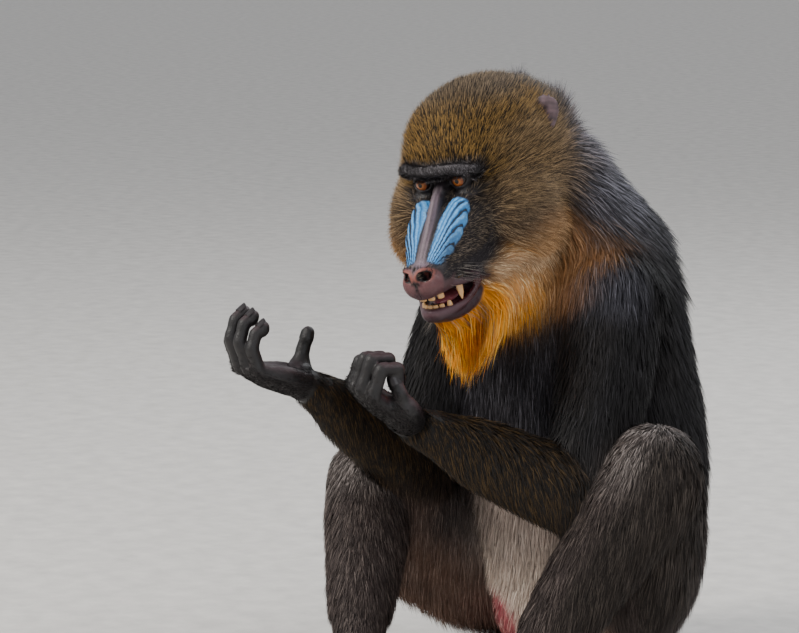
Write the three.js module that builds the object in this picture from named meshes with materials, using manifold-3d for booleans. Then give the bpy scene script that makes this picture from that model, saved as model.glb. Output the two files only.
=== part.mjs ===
// Mandrill, a young adult male: a still, life-size museum model of the seated animal.
// Millimetres, +Z up. The animal looks towards -Y and its left side is +X.
// The solids give the outline of the coat; neighbours are parted by a thin gap.
import * as THREE from "three";
import { mergeVertices } from "three/addons/utils/BufferGeometryUtils.js";
import Module from "manifold-3d";

const wasm = await Module();
wasm.setup();

// Driving dimensions
const GAP = 0.4;
const FLOOR_DEPTH = 60;
const SHOULDER_HALF_SPAN = 100;
const HIP_HALF_SPAN = 62;
const SEAT_HALF_WIDTH = 66;
const CHEST_HALF_WIDTH = 138;
const CHEST_HALF_DEPTH = 131;
const NECK_RADIUS = 122;
const UPPER_ARM_RADIUS = 50;
const ELBOW_RADIUS = 43;
const WRIST_RADIUS = 20;
const THIGH_RADIUS = 66;
const KNEE_RADIUS = 49;
const SHANK_RADIUS = 40;
const ANKLE_RADIUS = 28;
const PALM_HALF_WIDTH = 32;
const FINGER_RADIUS = 7.6;
const THUMB_RADIUS = 12;
const FOOT_LENGTH = 178;
const FOOT_HALF_WIDTH = 30;
const TOE_RADIUS = 8.4;
const EYE_RADIUS = 10.5;
const EYE_HALF_SPAN = 20.6;
const BROW_HALF_SPAN = 45;
const CROWN_RADIUS = 82;
const TAIL_LENGTH = 66;

// How the head is turned, in degrees: to its left, nose down, and over to its right side
const HEAD_YAW = 18.2;
const HEAD_PITCH = 16.3;
const HEAD_ROLL = 9;

// Joints of the pose: seated with the knees up, both hands held out below the muzzle
const point = (x, y, z) => new THREE.Vector3(x, y, z);
const NASION = point(17.5, -228.6, 516.4);
const SHOULDER = { left: point(SHOULDER_HALF_SPAN, -62, 392), right: point(-SHOULDER_HALF_SPAN, -62, 392) };
const ELBOW = { left: point(126, -136, 203), right: point(-118, -128, 212) };
const WRIST = { left: point(30, -283, 285), right: point(-88, -306, 307) };
const HIP = { left: point(HIP_HALF_SPAN, 20, 98), right: point(-HIP_HALF_SPAN, 20, 98) };
const KNEE = { left: point(187, -100, 236), right: point(-160, -157, 186) };
const ANKLE = { left: point(114, -192, 50), right: point(-66, -262, 50) };

const FUR = 0.95;
const SKIN = 0.55;
const WET = 0.2;
const COLOURS = {
  mane: 0x2b2624,
  crown: 0x6f5a32,
  face: 0x3a3034,
  ridge: 0x6aa6dc,
  nose: 0x7a4448,
  lip: 0x4a3038,
  beard: 0xd08a2c,
  arm: 0x3d3020,
  leg: 0x453c38,
  hand: 0x1d1a1c,
  ear: 0x8a6f74,
  eye: 0x9a4a14,
  tooth: 0xd9c48c,
  tongue: 0x8a4a50,
};

const SIDES = ["left", "right"];
const signOf = (side) => (side === "left" ? 1 : -1);
const mix = (a, b, share) => a.clone().lerp(b, share);

// The head's own directions, and a place told by steps left, forward and up
// from the bridge of the nose between the eyes
const radians = THREE.MathUtils.degToRad;
const headTurn = new THREE.Matrix4()
  .makeRotationZ(radians(HEAD_YAW))
  .multiply(new THREE.Matrix4().makeRotationX(radians(HEAD_PITCH)))
  .multiply(new THREE.Matrix4().makeRotationY(radians(-HEAD_ROLL)));
const LEFT = point(1, 0, 0).transformDirection(headTurn);
const FORWARD = point(0, -1, 0).transformDirection(headTurn);
const UP = point(0, 0, 1).transformDirection(headTurn);

function onHead(left, forward, up) {
  return NASION.clone()
    .addScaledVector(LEFT, left)
    .addScaledVector(FORWARD, forward)
    .addScaledVector(UP, up);
}

function toSolid(geometry) {
  const bare = geometry.toNonIndexed();
  bare.deleteAttribute("normal");
  bare.deleteAttribute("uv");
  const merged = mergeVertices(bare, 1e-4);
  const mesh = new wasm.Mesh({
    numProp: 3,
    vertProperties: new Float32Array(merged.getAttribute("position").array),
    triVerts: new Uint32Array(merged.index.array),
  });
  return new wasm.Manifold(mesh);
}

// A station of a limb or trunk: its centre, half width across and half depth
function station(at, wide, deep = wide) {
  return { at, wide, deep };
}

// A closed body with round ends: a sphere's grid laid along a smooth path through the stations.
// It is a function of how far to grow, so that neighbours can be cut clear of it
function body(stations, { across = point(1, 0, 0), around = 10, along = 7, blunt = 2.8 } = {}) {
  const path = new THREE.CatmullRomCurve3(stations.map((s) => s.at), false, "catmullrom", 0.5);
  const widths = stations.map((s) => point(s.wide, s.deep, 0));
  const sizes = new THREE.CatmullRomCurve3(widths, false, "catmullrom", 0.5);
  return (grow) => {
    const geometry = new THREE.SphereGeometry(1, around, along);
    const place = geometry.getAttribute("position");
    for (let i = 0; i < place.count; i += 1) {
      const end = place.getY(i);
      const turn = Math.atan2(place.getZ(i), place.getX(i));
      const share = (1 + end) / 2;
      const full = (1 - Math.min(1, Math.abs(end)) ** blunt) ** (1 / blunt);
      const size = sizes.getPoint(share);
      const forward = path.getTangent(share);
      const side = across.clone().addScaledVector(forward, -across.dot(forward)).normalize();
      const deep = side.clone().cross(forward);
      const spot = path.getPoint(share)
        .addScaledVector(forward, grow * end)
        .addScaledVector(side, Math.cos(turn) * full * (size.x + grow))
        .addScaledVector(deep, Math.sin(turn) * full * (size.y + grow));
      place.setXYZ(i, spot.x, spot.y, spot.z);
    }
    return toSolid(geometry);
  };
}

// An egg told by its centre and three half axes, and one that is turned with the head
function egg(centre, halves, { around = 10, along = 8, turn = new THREE.Matrix4() } = {}) {
  return (grow) => {
    const geometry = new THREE.SphereGeometry(1, around, along);
    geometry.scale(halves[0] + grow, halves[1] + grow, halves[2] + grow);
    geometry.applyMatrix4(turn);
    geometry.translate(centre.x, centre.y, centre.z);
    return toSolid(geometry);
  };
}

function headEgg(centre, halves, grid = {}) {
  return egg(onHead(...centre), halves, { ...grid, turn: headTurn });
}

function headBody(rows, options) {
  return body(rows.map(([left, forward, up, wide, deep]) => station(onHead(left, forward, up), wide, deep)), {
    across: LEFT,
    ...options,
  });
}

function joined(shapes, grow) {
  return shapes.map((shape) => shape(grow)).reduce((whole, piece) => whole.add(piece));
}

function meets(a, b) {
  const one = a.boundingBox();
  const other = b.boundingBox();
  return [0, 1, 2].every((k) => one.min[k] <= other.max[k] && other.min[k] <= one.max[k]);
}

const belowFloor = toSolid(new THREE.BoxGeometry(2000, 2000, FLOOR_DEPTH).translate(0, 0, -FLOOR_DEPTH / 2));

// The nodes in the order in which they keep their full shape; each later one is cut clear of them
const nodes = [];

function addNode(name, colour, roughness, shapes, cuts = []) {
  let solid = cuts.reduce((rest, cut) => rest.subtract(cut(0)), joined(shapes, 0)).subtract(belowFloor);
  for (const earlier of nodes) {
    if (meets(solid, earlier.grown)) {
      solid = solid.subtract(earlier.grown);
    }
  }
  const largest = solid.decompose().reduce((best, piece) => (piece.volume() > best.volume() ? piece : best));
  nodes.push({ name, colour, roughness, solid: largest, grown: joined(shapes, GAP) });
}

// Eyes, deep under the brow
for (const side of SIDES) {
  const centre = [signOf(side) * EYE_HALF_SPAN, -6, -2.3];
  const halves = [EYE_RADIUS, EYE_RADIUS, EYE_RADIUS];
  addNode(`eye_${side}`, COLOURS.eye, WET, [headEgg(centre, halves, { around: 8, along: 6 })]);
}

// Ears: thin leaf shapes that stand out of the coat behind the crown
for (const side of SIDES) {
  const s = signOf(side);
  const leaf = headBody(
    [
      [s * 48, -104, 2, 14, 6],
      [s * 60, -108, 12, 19, 5],
      [s * 71, -113, 24, 16, 3.5],
      [s * 76, -116, 33, 8, 2.5],
    ],
    { across: UP.clone().addScaledVector(LEFT, -0.6 * s), around: 8, along: 5, blunt: 2.4 },
  );
  addNode(`ear_${side}`, COLOURS.ear, SKIN, [leaf]);
}

// Brow: one bristly bar over both eyes
const browBar = headBody(
  [-1, -0.5, 0, 0.5, 1].map((s) => [s * BROW_HALF_SPAN, 8 - 14 * s * s, 9 - 4.5 * s ** 3 - 2 * s ** 4, 6, 9]),
  { across: UP, around: 8, along: 6, blunt: 4 },
);
addNode("brow", COLOURS.hand, FUR, [browBar]);

// Teeth that the open mouth shows
function toothRow(halfWidth, forward, up, height) {
  return headBody(
    [-1, -0.5, 0, 0.5, 1].map((s) => [s * halfWidth, forward - 6 * s * s, up, 3, height]),
    { across: FORWARD, around: 6, along: 6, blunt: 4 },
  );
}
addNode("upper_teeth", COLOURS.tooth, WET, [toothRow(14, 82, -91, 6)]);
addNode("lower_teeth", COLOURS.tooth, WET, [toothRow(10, 77, -103, 6)]);
for (const side of SIDES) {
  const s = signOf(side);
  const fang = headBody(
    [
      [s * 22, 56, -84, 5, 5],
      [s * 22, 57, -94, 4, 4],
      [s * 22, 56, -104, 1.6, 1.6],
    ],
    { around: 6, along: 5, blunt: 3 },
  );
  addNode(`upper_canine_${side}`, COLOURS.tooth, WET, [fang]);
}

// The swollen blue ridge on each side of the nose
for (const side of SIDES) {
  const s = signOf(side);
  const ridge = headBody(
    [
      [s * 21, 4, -22, 10, 8],
      [s * 21, 36, -41, 11.5, 10],
      [s * 12, 76, -66, 6, 6],
    ],
    { around: 8, along: 6, blunt: 3 },
  );
  addNode(`cheek_ridge_${side}`, COLOURS.ridge, SKIN, [ridge]);
}

// Nose with its two lip lobes, and the boxy muzzle behind it
const nostril = (s) => headEgg([s * 9, 92, -66], [4, 6, 4.5], { around: 6, along: 4 });
const lipLobe = (s) => headEgg([s * 9.5, 84, -76], [11.5, 11, 14], { around: 8, along: 6 });
addNode("nose", COLOURS.nose, SKIN, [lipLobe(1), lipLobe(-1)], [nostril(1), nostril(-1)]);

const orbit = (s) => headEgg([s * (EYE_HALF_SPAN + 1), 12, -3.5], [12, 13, 8], { around: 8, along: 6 });
const snout = headBody(
  [
    [0, -22, -46, 42, 36],
    [0, 12, -52, 36, 33],
    [0, 45, -63, 30, 26],
    [0, 74, -74, 23, 17],
    [0, 89, -77, 18, 13],
  ],
  { around: 9, along: 6, blunt: 3.4 },
);
const noseBridge = headBody(
  [
    [0, -12, -10, 9, 9],
    [0, 38, -41, 7, 9],
    [0, 84, -71, 10, 8],
  ],
  { around: 8, along: 6, blunt: 3 },
);
const upperMouth = headEgg([0, 52, -99], [20, 40, 11]);
const eyeSurround = headEgg([0, -14, -6], [40, 19, 17], { around: 8, along: 5 });
const muzzleCuts = [nostril(1), nostril(-1), upperMouth, orbit(1), orbit(-1)];
addNode("muzzle", COLOURS.face, SKIN, [snout, noseBridge, eyeSurround], muzzleCuts);

// Tongue, and the lower jaw that holds it
const tongue = headBody(
  [
    [0, 20, -106, 13, 6],
    [0, 50, -105, 12, 5],
    [0, 68, -103, 8, 4],
  ],
  { around: 8, along: 5 },
);
addNode("tongue", COLOURS.tongue, WET, [tongue]);

const jaw = headBody(
  [
    [0, -28, -102, 42, 22],
    [0, 12, -110, 33, 19],
    [0, 46, -112, 25, 14],
    [0, 66, -112, 20, 11],
    [0, 80, -110, 15, 9],
  ],
  { around: 9, along: 6, blunt: 3.4 },
);
const jawHollow = headEgg([0, 52, -100], [15, 27, 8], { around: 8, along: 6 });
addNode("lower_jaw", COLOURS.lip, SKIN, [jaw], [jawHollow]);

// Beard, then the crown with its crest and the cheek hair on both sides
const beard = headBody(
  [
    [0, -14, -108, 58, 44],
    [0, 20, -132, 46, 36],
    [0, 46, -158, 26, 22],
    [0, 62, -196, 5, 5],
  ],
  { around: 10, along: 6, blunt: 2.4 },
);
addNode("beard", COLOURS.beard, FUR, [beard]);

const crown = headEgg([0, -88, -6], [CROWN_RADIUS, CROWN_RADIUS + 6, CROWN_RADIUS], { along: 7 });
const crest = headEgg([0, -122, 7], [CROWN_RADIUS - 5, CROWN_RADIUS - 18, CROWN_RADIUS - 14], { along: 6 });
const cheek = (s) => headEgg([s * 40, -58, -62], [42, 56, 58], { around: 9, along: 6 });
addNode("head", COLOURS.crown, FUR, [crown, crest, cheek(1), cheek(-1)], [orbit(1), orbit(-1)]);

// Neck inside the mane that falls from the nape to the shoulders
const neck = body(
  [
    station(point(-8, -128, 580), 34, 32),
    station(point(-6, -108, 540), 60, 56),
    station(point(-2, -80, 494), 78, 73),
    station(point(0, -54, 444), NECK_RADIUS - 15, NECK_RADIUS - 16),
    station(point(0, -40, 404), NECK_RADIUS, NECK_RADIUS - 2),
    station(point(0, -32, 366), NECK_RADIUS - 18, NECK_RADIUS - 20),
  ],
  { around: 12, along: 8, blunt: 2.6 },
);
addNode("neck", COLOURS.mane, FUR, [neck]);

// Trunk, sitting on the haunches, with the soft belly in front
const trunk = body(
  [
    station(point(0, 42, -14), SEAT_HALF_WIDTH, SEAT_HALF_WIDTH - 8),
    station(point(0, 38, 56), 98, 88),
    station(point(0, 22, 130), 120, 112),
    station(point(0, 2, 220), CHEST_HALF_WIDTH + 2, CHEST_HALF_DEPTH + 3),
    station(point(0, -18, 300), CHEST_HALF_WIDTH - 3, CHEST_HALF_DEPTH - 2),
    station(point(0, -34, 368), CHEST_HALF_WIDTH - 8, CHEST_HALF_DEPTH - 5),
    station(point(0, -46, 420), 116, 113),
    station(point(0, -58, 468), 76, 74),
  ],
  { around: 12, along: 9, blunt: 3.2 },
);
const belly = egg(point(0, -46, 63), [74, 70, 61]);
addNode("trunk", COLOURS.mane, FUR, [trunk, belly]);

// Tail: a short upright stub
const tail = body(
  [
    station(point(0, 118, 88), 24),
    station(point(0, 147, 112), 19),
    station(point(0, 158, 88 + TAIL_LENGTH), 12),
  ],
  { along: 6, blunt: 2.6 },
);
addNode("tail", COLOURS.mane, FUR, [tail]);

// Arms
for (const side of SIDES) {
  const onBone = (share, x = 0, y = 0, z = 0) => mix(SHOULDER[side], ELBOW[side], share).add(point(x, y, z));
  const upperArm = body(
    [
      station(onBone(0, -10 * signOf(side), 0, 14), UPPER_ARM_RADIUS + 10, UPPER_ARM_RADIUS + 16),
      station(onBone(0.35), UPPER_ARM_RADIUS + 4, UPPER_ARM_RADIUS + 8),
      station(onBone(0.75), UPPER_ARM_RADIUS - 3, UPPER_ARM_RADIUS),
      station(onBone(1, 0, 8, -14), ELBOW_RADIUS - 3, ELBOW_RADIUS - 1),
    ],
    { along: 7, blunt: 3 },
  );
  addNode(`upper_arm_${side}`, COLOURS.mane, FUR, [upperArm]);
}
for (const side of SIDES) {
  const onBone = (share) => mix(ELBOW[side], WRIST[side], share);
  const foreArm = body(
    [
      station(onBone(-0.16), ELBOW_RADIUS - 5),
      station(onBone(0.18), ELBOW_RADIUS + 1),
      station(onBone(0.55), ELBOW_RADIUS - 5),
      station(onBone(0.84), WRIST_RADIUS + 9),
      station(onBone(1.06), WRIST_RADIUS),
    ],
    { along: 7, blunt: 4 },
  );
  addNode(`forearm_${side}`, COLOURS.arm, FUR, [foreArm]);
}

// Legs
for (const side of SIDES) {
  const onBone = (share, z = 0) => mix(HIP[side], KNEE[side], share).add(point(0, 0, z));
  const thigh = body(
    [
      station(onBone(-0.12), THIGH_RADIUS - 6, THIGH_RADIUS + 2),
      station(onBone(0.32, -10), THIGH_RADIUS - 3, THIGH_RADIUS + 8),
      station(onBone(0.72), THIGH_RADIUS - 12, THIGH_RADIUS - 8),
      station(onBone(1.1), KNEE_RADIUS - 3),
    ],
    { along: 8, blunt: 3.4 },
  );
  const knee = egg(KNEE[side], [KNEE_RADIUS, KNEE_RADIUS - 2, KNEE_RADIUS], { around: 9, along: 7 });
  const hanging = body(
    [station(onBone(0.25, -58), 40, 46), station(onBone(0.5, -64), 44, 50), station(onBone(0.78, -64), 32, 40)],
    { around: 7, along: 5 },
  );
  addNode(`thigh_${side}`, COLOURS.leg, FUR, [thigh, knee, hanging]);
}
for (const side of SIDES) {
  const onBone = (share) => mix(KNEE[side], ANKLE[side], share);
  const shank = body(
    [
      station(onBone(-0.08), KNEE_RADIUS - 6),
      station(onBone(0.16), KNEE_RADIUS - 2, KNEE_RADIUS + 2),
      station(onBone(0.45), SHANK_RADIUS + 3, SHANK_RADIUS + 9),
      station(onBone(0.8), ANKLE_RADIUS + 8, ANKLE_RADIUS + 11),
      station(onBone(1.06), ANKLE_RADIUS),
    ],
    { along: 7, blunt: 4 },
  );
  addNode(`shank_${side}`, COLOURS.leg, FUR, [shank]);
}

// Hands, palms up: the right one is an open dish, the left one a loose fist.
// Places on a hand are steps along it, towards the thumb and out of the palm, from the wrist
const HANDS = {
  right: {
    along: point(-0.33, -0.88, 0.3),
    palm: point(0, 0.2, 0.98),
    thumbSign: 1,
    firstBend: 0.95,
    nextBend: 0.6,
    thumb: [[2, 14, 2], [5, 25, 14], [6, 28, 34], [6, 26, 56]],
  },
  left: {
    along: point(-0.05, -0.85, 0.52),
    palm: point(0.26, 0.5, 0.82),
    thumbSign: -1,
    firstBend: 1.25,
    nextBend: 1.35,
    thumb: [[14, 18, 2], [32, 30, 8], [50, 30, 18], [62, 20, 28]],
  },
};
const FINGERS = [
  { name: "index", across: 22, knuckle: 70, bones: [27, 18, 13] },
  { name: "middle", across: 7.5, knuckle: 74, bones: [30, 19, 14] },
  { name: "ring", across: -7.5, knuckle: 71, bones: [28, 18, 14] },
  { name: "little", across: -21.5, knuckle: 65, bones: [23, 15, 12] },
];

function fingerSteps(finger, hand) {
  let angle = hand.firstBend;
  let along = finger.knuckle;
  let out = 2;
  const steps = [[along - 8, finger.across, 0], [along, finger.across, out]];
  for (const bone of finger.bones) {
    along += bone * Math.cos(angle);
    out += bone * Math.sin(angle);
    angle += hand.nextBend;
    steps.push([along, finger.across, out]);
  }
  return steps;
}

for (const side of SIDES) {
  const hand = HANDS[side];
  const along = hand.along.clone().normalize();
  const out = hand.palm.clone().addScaledVector(along, -hand.palm.dot(along)).normalize();
  const toThumb = along.clone().cross(out).multiplyScalar(hand.thumbSign);
  const at = (steps) => WRIST[side].clone()
    .addScaledVector(along, steps[0])
    .addScaledVector(toThumb, steps[1])
    .addScaledVector(out, steps[2]);
  const palm = body(
    [
      station(at([0, 0, 0]), WRIST_RADIUS, 15),
      station(at([32, 0, 0]), PALM_HALF_WIDTH - 5, 13),
      station(at([58, 0, 0]), PALM_HALF_WIDTH, 12),
      station(at([76, 0, 0]), PALM_HALF_WIDTH - 3, 9),
    ],
    { across: toThumb, along: 6, blunt: 4 },
  );
  addNode(`hand_${side}`, COLOURS.hand, SKIN, [palm]);
  for (const finger of FINGERS) {
    const thin = (i) => FINGER_RADIUS * (1 - 0.04 * i);
    const stations = fingerSteps(finger, hand).map((steps, i) => station(at(steps), thin(i)));
    const digit = body(stations, { across: toThumb, around: 6, along: 6, blunt: 5 });
    addNode(`finger_${finger.name}_${side}`, COLOURS.hand, SKIN, [digit]);
  }
  const thumbStations = hand.thumb.map((steps, i) => station(at(steps), THUMB_RADIUS - 1.6 * i));
  const thumb = body(thumbStations, { across: along, around: 6, along: 6, blunt: 4 });
  addNode(`thumb_${side}`, COLOURS.hand, SKIN, [thumb]);
}

// Feet, flat on the floor. Places on a foot are steps along it, towards the great toe, and up
const FOOT_TURN = { left: -0.12, right: -0.1 };
const HEEL_BEHIND_ANKLE = 26;
const TOES = [
  { name: "second", across: 17, root: 0.66, length: 46 },
  { name: "third", across: 5, root: 0.68, length: 48 },
  { name: "fourth", across: -8, root: 0.66, length: 45 },
  { name: "fifth", across: -21, root: 0.6, length: 38 },
];
for (const side of SIDES) {
  const along = point(FOOT_TURN[side], -1, 0).normalize();
  const inward = point(-signOf(side), 0, 0);
  const heel = ANKLE[side].clone().setZ(0).addScaledVector(along, -HEEL_BEHIND_ANKLE);
  const at = (ahead, inside, height) => heel.clone()
    .addScaledVector(along, ahead)
    .addScaledVector(inward, inside)
    .setZ(height);
  const sole = body(
    [
      station(at(-4, 0, 16), 20, 20),
      station(at(26, 0, 26), FOOT_HALF_WIDTH - 3, 30),
      station(at(70, 0, 18), FOOT_HALF_WIDTH - 2, 22),
      station(at(FOOT_LENGTH * 0.66, 0, 9), FOOT_HALF_WIDTH + 2, 14),
      station(at(FOOT_LENGTH * 0.76, 0, 7), FOOT_HALF_WIDTH - 2, 10),
    ],
    { around: 9, blunt: 3.4 },
  );
  addNode(`foot_${side}`, COLOURS.hand, SKIN, [sole]);
  for (const toe of TOES) {
    const root = FOOT_LENGTH * toe.root;
    const shape = body(
      [
        station(at(root, toe.across, 8), TOE_RADIUS, TOE_RADIUS + 1.6),
        station(at(root + toe.length * 0.5, toe.across * 1.1, 10), TOE_RADIUS, TOE_RADIUS + 2),
        station(at(root + toe.length, toe.across * 1.15, 6), TOE_RADIUS - 1),
      ],
      { around: 6, along: 4, blunt: 3.4 },
    );
    addNode(`toe_${toe.name}_${side}`, COLOURS.hand, SKIN, [shape]);
  }
  const greatToe = body(
    [station(at(50, 22, 10), 13, 12), station(at(76, 38, 9), 11), station(at(100, 44, 7), 9)],
    { around: 6, along: 4, blunt: 3.4 },
  );
  addNode(`great_toe_${side}`, COLOURS.hand, SKIN, [greatToe]);
}

// The scene graph, with its origin on the floor under the middle of the model
const extent = new THREE.Box3();
for (const { solid } of nodes) {
  const { min, max } = solid.boundingBox();
  extent.expandByPoint(point(...min));
  extent.expandByPoint(point(...max));
}
const middle = extent.getCenter(point(0, 0, 0)).setZ(0);

const mandrill = new THREE.Group();
for (const { name, colour, roughness, solid } of nodes) {
  const mesh = solid.getMesh();
  const geometry = new THREE.BufferGeometry();
  geometry.setAttribute("position", new THREE.BufferAttribute(new Float32Array(mesh.vertProperties), 3));
  geometry.setIndex(new THREE.BufferAttribute(new Uint32Array(mesh.triVerts), 1));
  geometry.computeVertexNormals();
  const material = new THREE.MeshStandardMaterial({ color: colour, roughness, metalness: 0 });
  const piece = new THREE.Mesh(geometry, material);
  piece.name = name;
  piece.position.copy(middle).negate();
  mandrill.add(piece);
}

export default mandrill;
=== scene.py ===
"""A still, life-size mandrill: skin, eyes, teeth, nails and coat, with a floor, lights and a camera."""
import functools
import math

import bpy
import numpy as np
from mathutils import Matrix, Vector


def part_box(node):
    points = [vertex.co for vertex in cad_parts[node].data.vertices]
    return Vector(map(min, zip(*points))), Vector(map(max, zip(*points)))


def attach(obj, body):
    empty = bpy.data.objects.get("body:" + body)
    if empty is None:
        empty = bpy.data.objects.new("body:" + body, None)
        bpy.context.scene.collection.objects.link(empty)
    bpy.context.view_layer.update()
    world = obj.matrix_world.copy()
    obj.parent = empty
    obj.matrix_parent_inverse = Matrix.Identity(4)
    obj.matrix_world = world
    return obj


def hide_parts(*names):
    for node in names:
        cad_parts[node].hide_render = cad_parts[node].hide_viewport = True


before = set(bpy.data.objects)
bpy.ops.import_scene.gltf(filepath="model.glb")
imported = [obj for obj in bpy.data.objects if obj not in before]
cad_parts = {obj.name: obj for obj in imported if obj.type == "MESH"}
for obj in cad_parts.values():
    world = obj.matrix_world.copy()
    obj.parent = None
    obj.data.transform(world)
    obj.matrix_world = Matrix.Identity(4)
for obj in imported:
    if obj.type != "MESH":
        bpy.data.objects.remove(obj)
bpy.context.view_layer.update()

import openvdb
from bpy.props import FloatProperty, FloatVectorProperty, PointerProperty
from mathutils import Matrix, Vector

bl_info = {
    "name": "Seated mandrill",
    "version": (1, 0, 0),
    "blender": (4, 5, 0),
    "location": "3D View > Sidebar > Mandrill",
    "description": "Builds the skin, eyes, teeth, nails and coat of a seated mandrill over its solids",
    "category": "Object",
}

# Lengths are in millimetres and angles in radians, apart from those that are said to be otherwise.
# FAR is the distance that clay holds where no body is near, FLOOR_GAP the skin's height over the floor.
FAR, FLOOR_GAP = 60.0, 0.4
MAP_NAME = "OFBake"
rng = np.random.default_rng(11)


# Small helpers on numbers and colours
def vec(*numbers):
    return np.array(numbers, float)


def unit(v):
    v = np.asarray(v, float)
    return v / np.maximum(np.linalg.norm(v, axis=-1, keepdims=True), 1e-9)


def smooth(low, high, x):
    t = np.clip((x - low) / (high - low), 0, 1)
    return t * t * (3 - 2 * t)


def bump_at(x, middle, width):
    return np.exp(-(((x - middle) / width) ** 2))


def linear(code):
    parts = [int(code[i : i + 2], 16) / 255 for i in (1, 3, 5)]
    return vec(*[c / 12.92 if c <= 0.04045 else ((c + 0.055) / 1.055) ** 2.4 for c in parts])


def blended(base, new, share):
    share = np.clip(share, 0, 1)
    return base + (new - base) * (share[:, None] if np.ndim(base) > 1 else share)


def wobble(p, size, seed=0):
    """Smooth, repeatable variation between -1 and 1 over places p, at about the given size."""
    q = p / size * 2 * math.pi
    a, b, c = 1.3 + seed, 2.1 + 2 * seed, 0.7 + 3 * seed
    first = np.sin(q[:, 0] * 0.83 + q[:, 1] * 0.41 + a) * np.sin(q[:, 1] * 0.77 - q[:, 2] * 0.52 + b)
    second = np.sin(q[:, 2] * 0.91 + q[:, 0] * 0.37 + c) * np.sin(q[:, 0] * 1.31 - q[:, 1] * 0.59 + a)
    third = np.sin(q[:, 1] * 1.73 + q[:, 2] * 1.21 + b) * np.sin(q[:, 2] * 1.57 - q[:, 0] * 1.13 + c)
    return np.clip((first + second + 0.7 * third) / 1.6, -1, 1)


def inside(p, centre, halves, soft=0.35):
    """1 inside an egg-shaped patch, falling to 0 just outside it."""
    k = np.linalg.norm((p - np.asarray(centre)) / np.asarray(halves), axis=1)
    return smooth(1 + soft, 1 - soft, k)


# The pose, in millimetres from a point under the trunk
NASION = vec(17.5, -228.6, 516.4)
HEAD_YAW, HEAD_PITCH, HEAD_ROLL = 18.2, 16.3, -9.0
SHOULDER = {1: vec(100, -62, 392), -1: vec(-100, -62, 392)}
ELBOW = {1: vec(126, -136, 203), -1: vec(-118, -128, 212)}
WRIST = {1: vec(30, -283, 285), -1: vec(-88, -306, 307)}
HIP = {1: vec(62, 20, 98), -1: vec(-62, 20, 98)}
KNEE = {1: vec(187, -100, 236), -1: vec(-160, -157, 186)}
ANKLE = {1: vec(114, -192, 50), -1: vec(-66, -262, 50)}
SIDES = {1: "left", -1: "right"}
EYE_RADIUS = 10.3
EYE = {s: (s * 20.6, -6.0, -2.3) for s in SIDES}
DOWN = vec(0, 0, -1)


def turned(axis, degrees):
    return np.array(Matrix.Rotation(math.radians(degrees), 3, axis))


HEAD_TURN = turned("Z", HEAD_YAW) @ turned("X", HEAD_PITCH) @ turned("Y", HEAD_ROLL)
HEAD_AXES = np.array([HEAD_TURN @ vec(1, 0, 0), HEAD_TURN @ vec(0, -1, 0), HEAD_TURN @ vec(0, 0, 1)])
LEFT, FORWARD, UP = HEAD_AXES


def on_head(left, forward, up):
    return NASION + vec(left, forward, up) @ HEAD_AXES


def head_places(p):
    return (p - NASION) @ HEAD_AXES.T


eye_low, eye_high = [np.array(corner) * 1000 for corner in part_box("eye_left")]
TO_FRAME = np.round((eye_low + eye_high) / 2 - on_head(*EYE[1]), 3)


def metres(p):
    return (p + TO_FRAME) / 1000


def smooth_path(rows, steps):
    """Rows of numbers joined by a smooth curve, with steps rows for each gap."""
    rows = np.asarray(rows, float)
    more = np.vstack([2 * rows[0] - rows[1], rows, 2 * rows[-1] - rows[-2]])
    made = []
    for i in range(len(rows) - 1):
        a, b, c, d = more[i : i + 4]
        for s in np.arange(steps) / steps:
            bend = (2 * a - 5 * b + 4 * c - d) * s**2 + (3 * b - a - 3 * c + d) * s**3
            made.append(0.5 * (2 * b + (c - a) * s + bend))
    made.append(rows[-1])
    return np.array(made)


def full_row(x, y, z, wide, deep=None):
    """A place with its half width and half depth, which is the width where it isn't given."""
    return x, y, z, wide, wide if deep is None else deep


class Limb:
    """A round or flattened body along a smooth path through rows of place, half width and half depth."""

    def __init__(self, rows, across=(1, 0, 0), blend=8.0, steps=3, power=2.0):
        self.rows = smooth_path([full_row(*row) for row in rows], steps)
        self.across = unit(across)
        self.blend = blend
        self.power = power


class Egg:
    """A centre, three half axes, and the directions that they lie along."""

    def __init__(self, centre, halves, axes=None, blend=8.0):
        self.centre = np.asarray(centre, float)
        self.halves = np.asarray(halves, float)
        self.axes = np.eye(3) if axes is None else axes
        self.blend = blend


def limb_at(place, rows, **more):
    """A limb through rows whose first three numbers the function place turns into a place."""
    return Limb([(*place(*row[:3]), *row[3:]) for row in rows], **more)


def head_limb(rows, across=LEFT, **more):
    return limb_at(on_head, rows, across=across, **more)


def head_egg(centre, halves, axes=None, **more):
    return Egg(on_head(*centre), halves, HEAD_AXES if axes is None else axes @ HEAD_AXES, **more)


def soft_min(a, b, k):
    h = np.clip(0.5 + 0.5 * (b - a) / k, 0, 1)
    return b + (a - b) * h - k * h * (1 - h)


def window(a, b):
    """The part of a grid between two corner indices."""
    return tuple(slice(low, high) for low, high in zip(a, b))


def quad_normals(corners):
    """The cross product of each quad's diagonals."""
    return np.cross(corners[:, 2] - corners[:, 0], corners[:, 3] - corners[:, 1])


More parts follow.
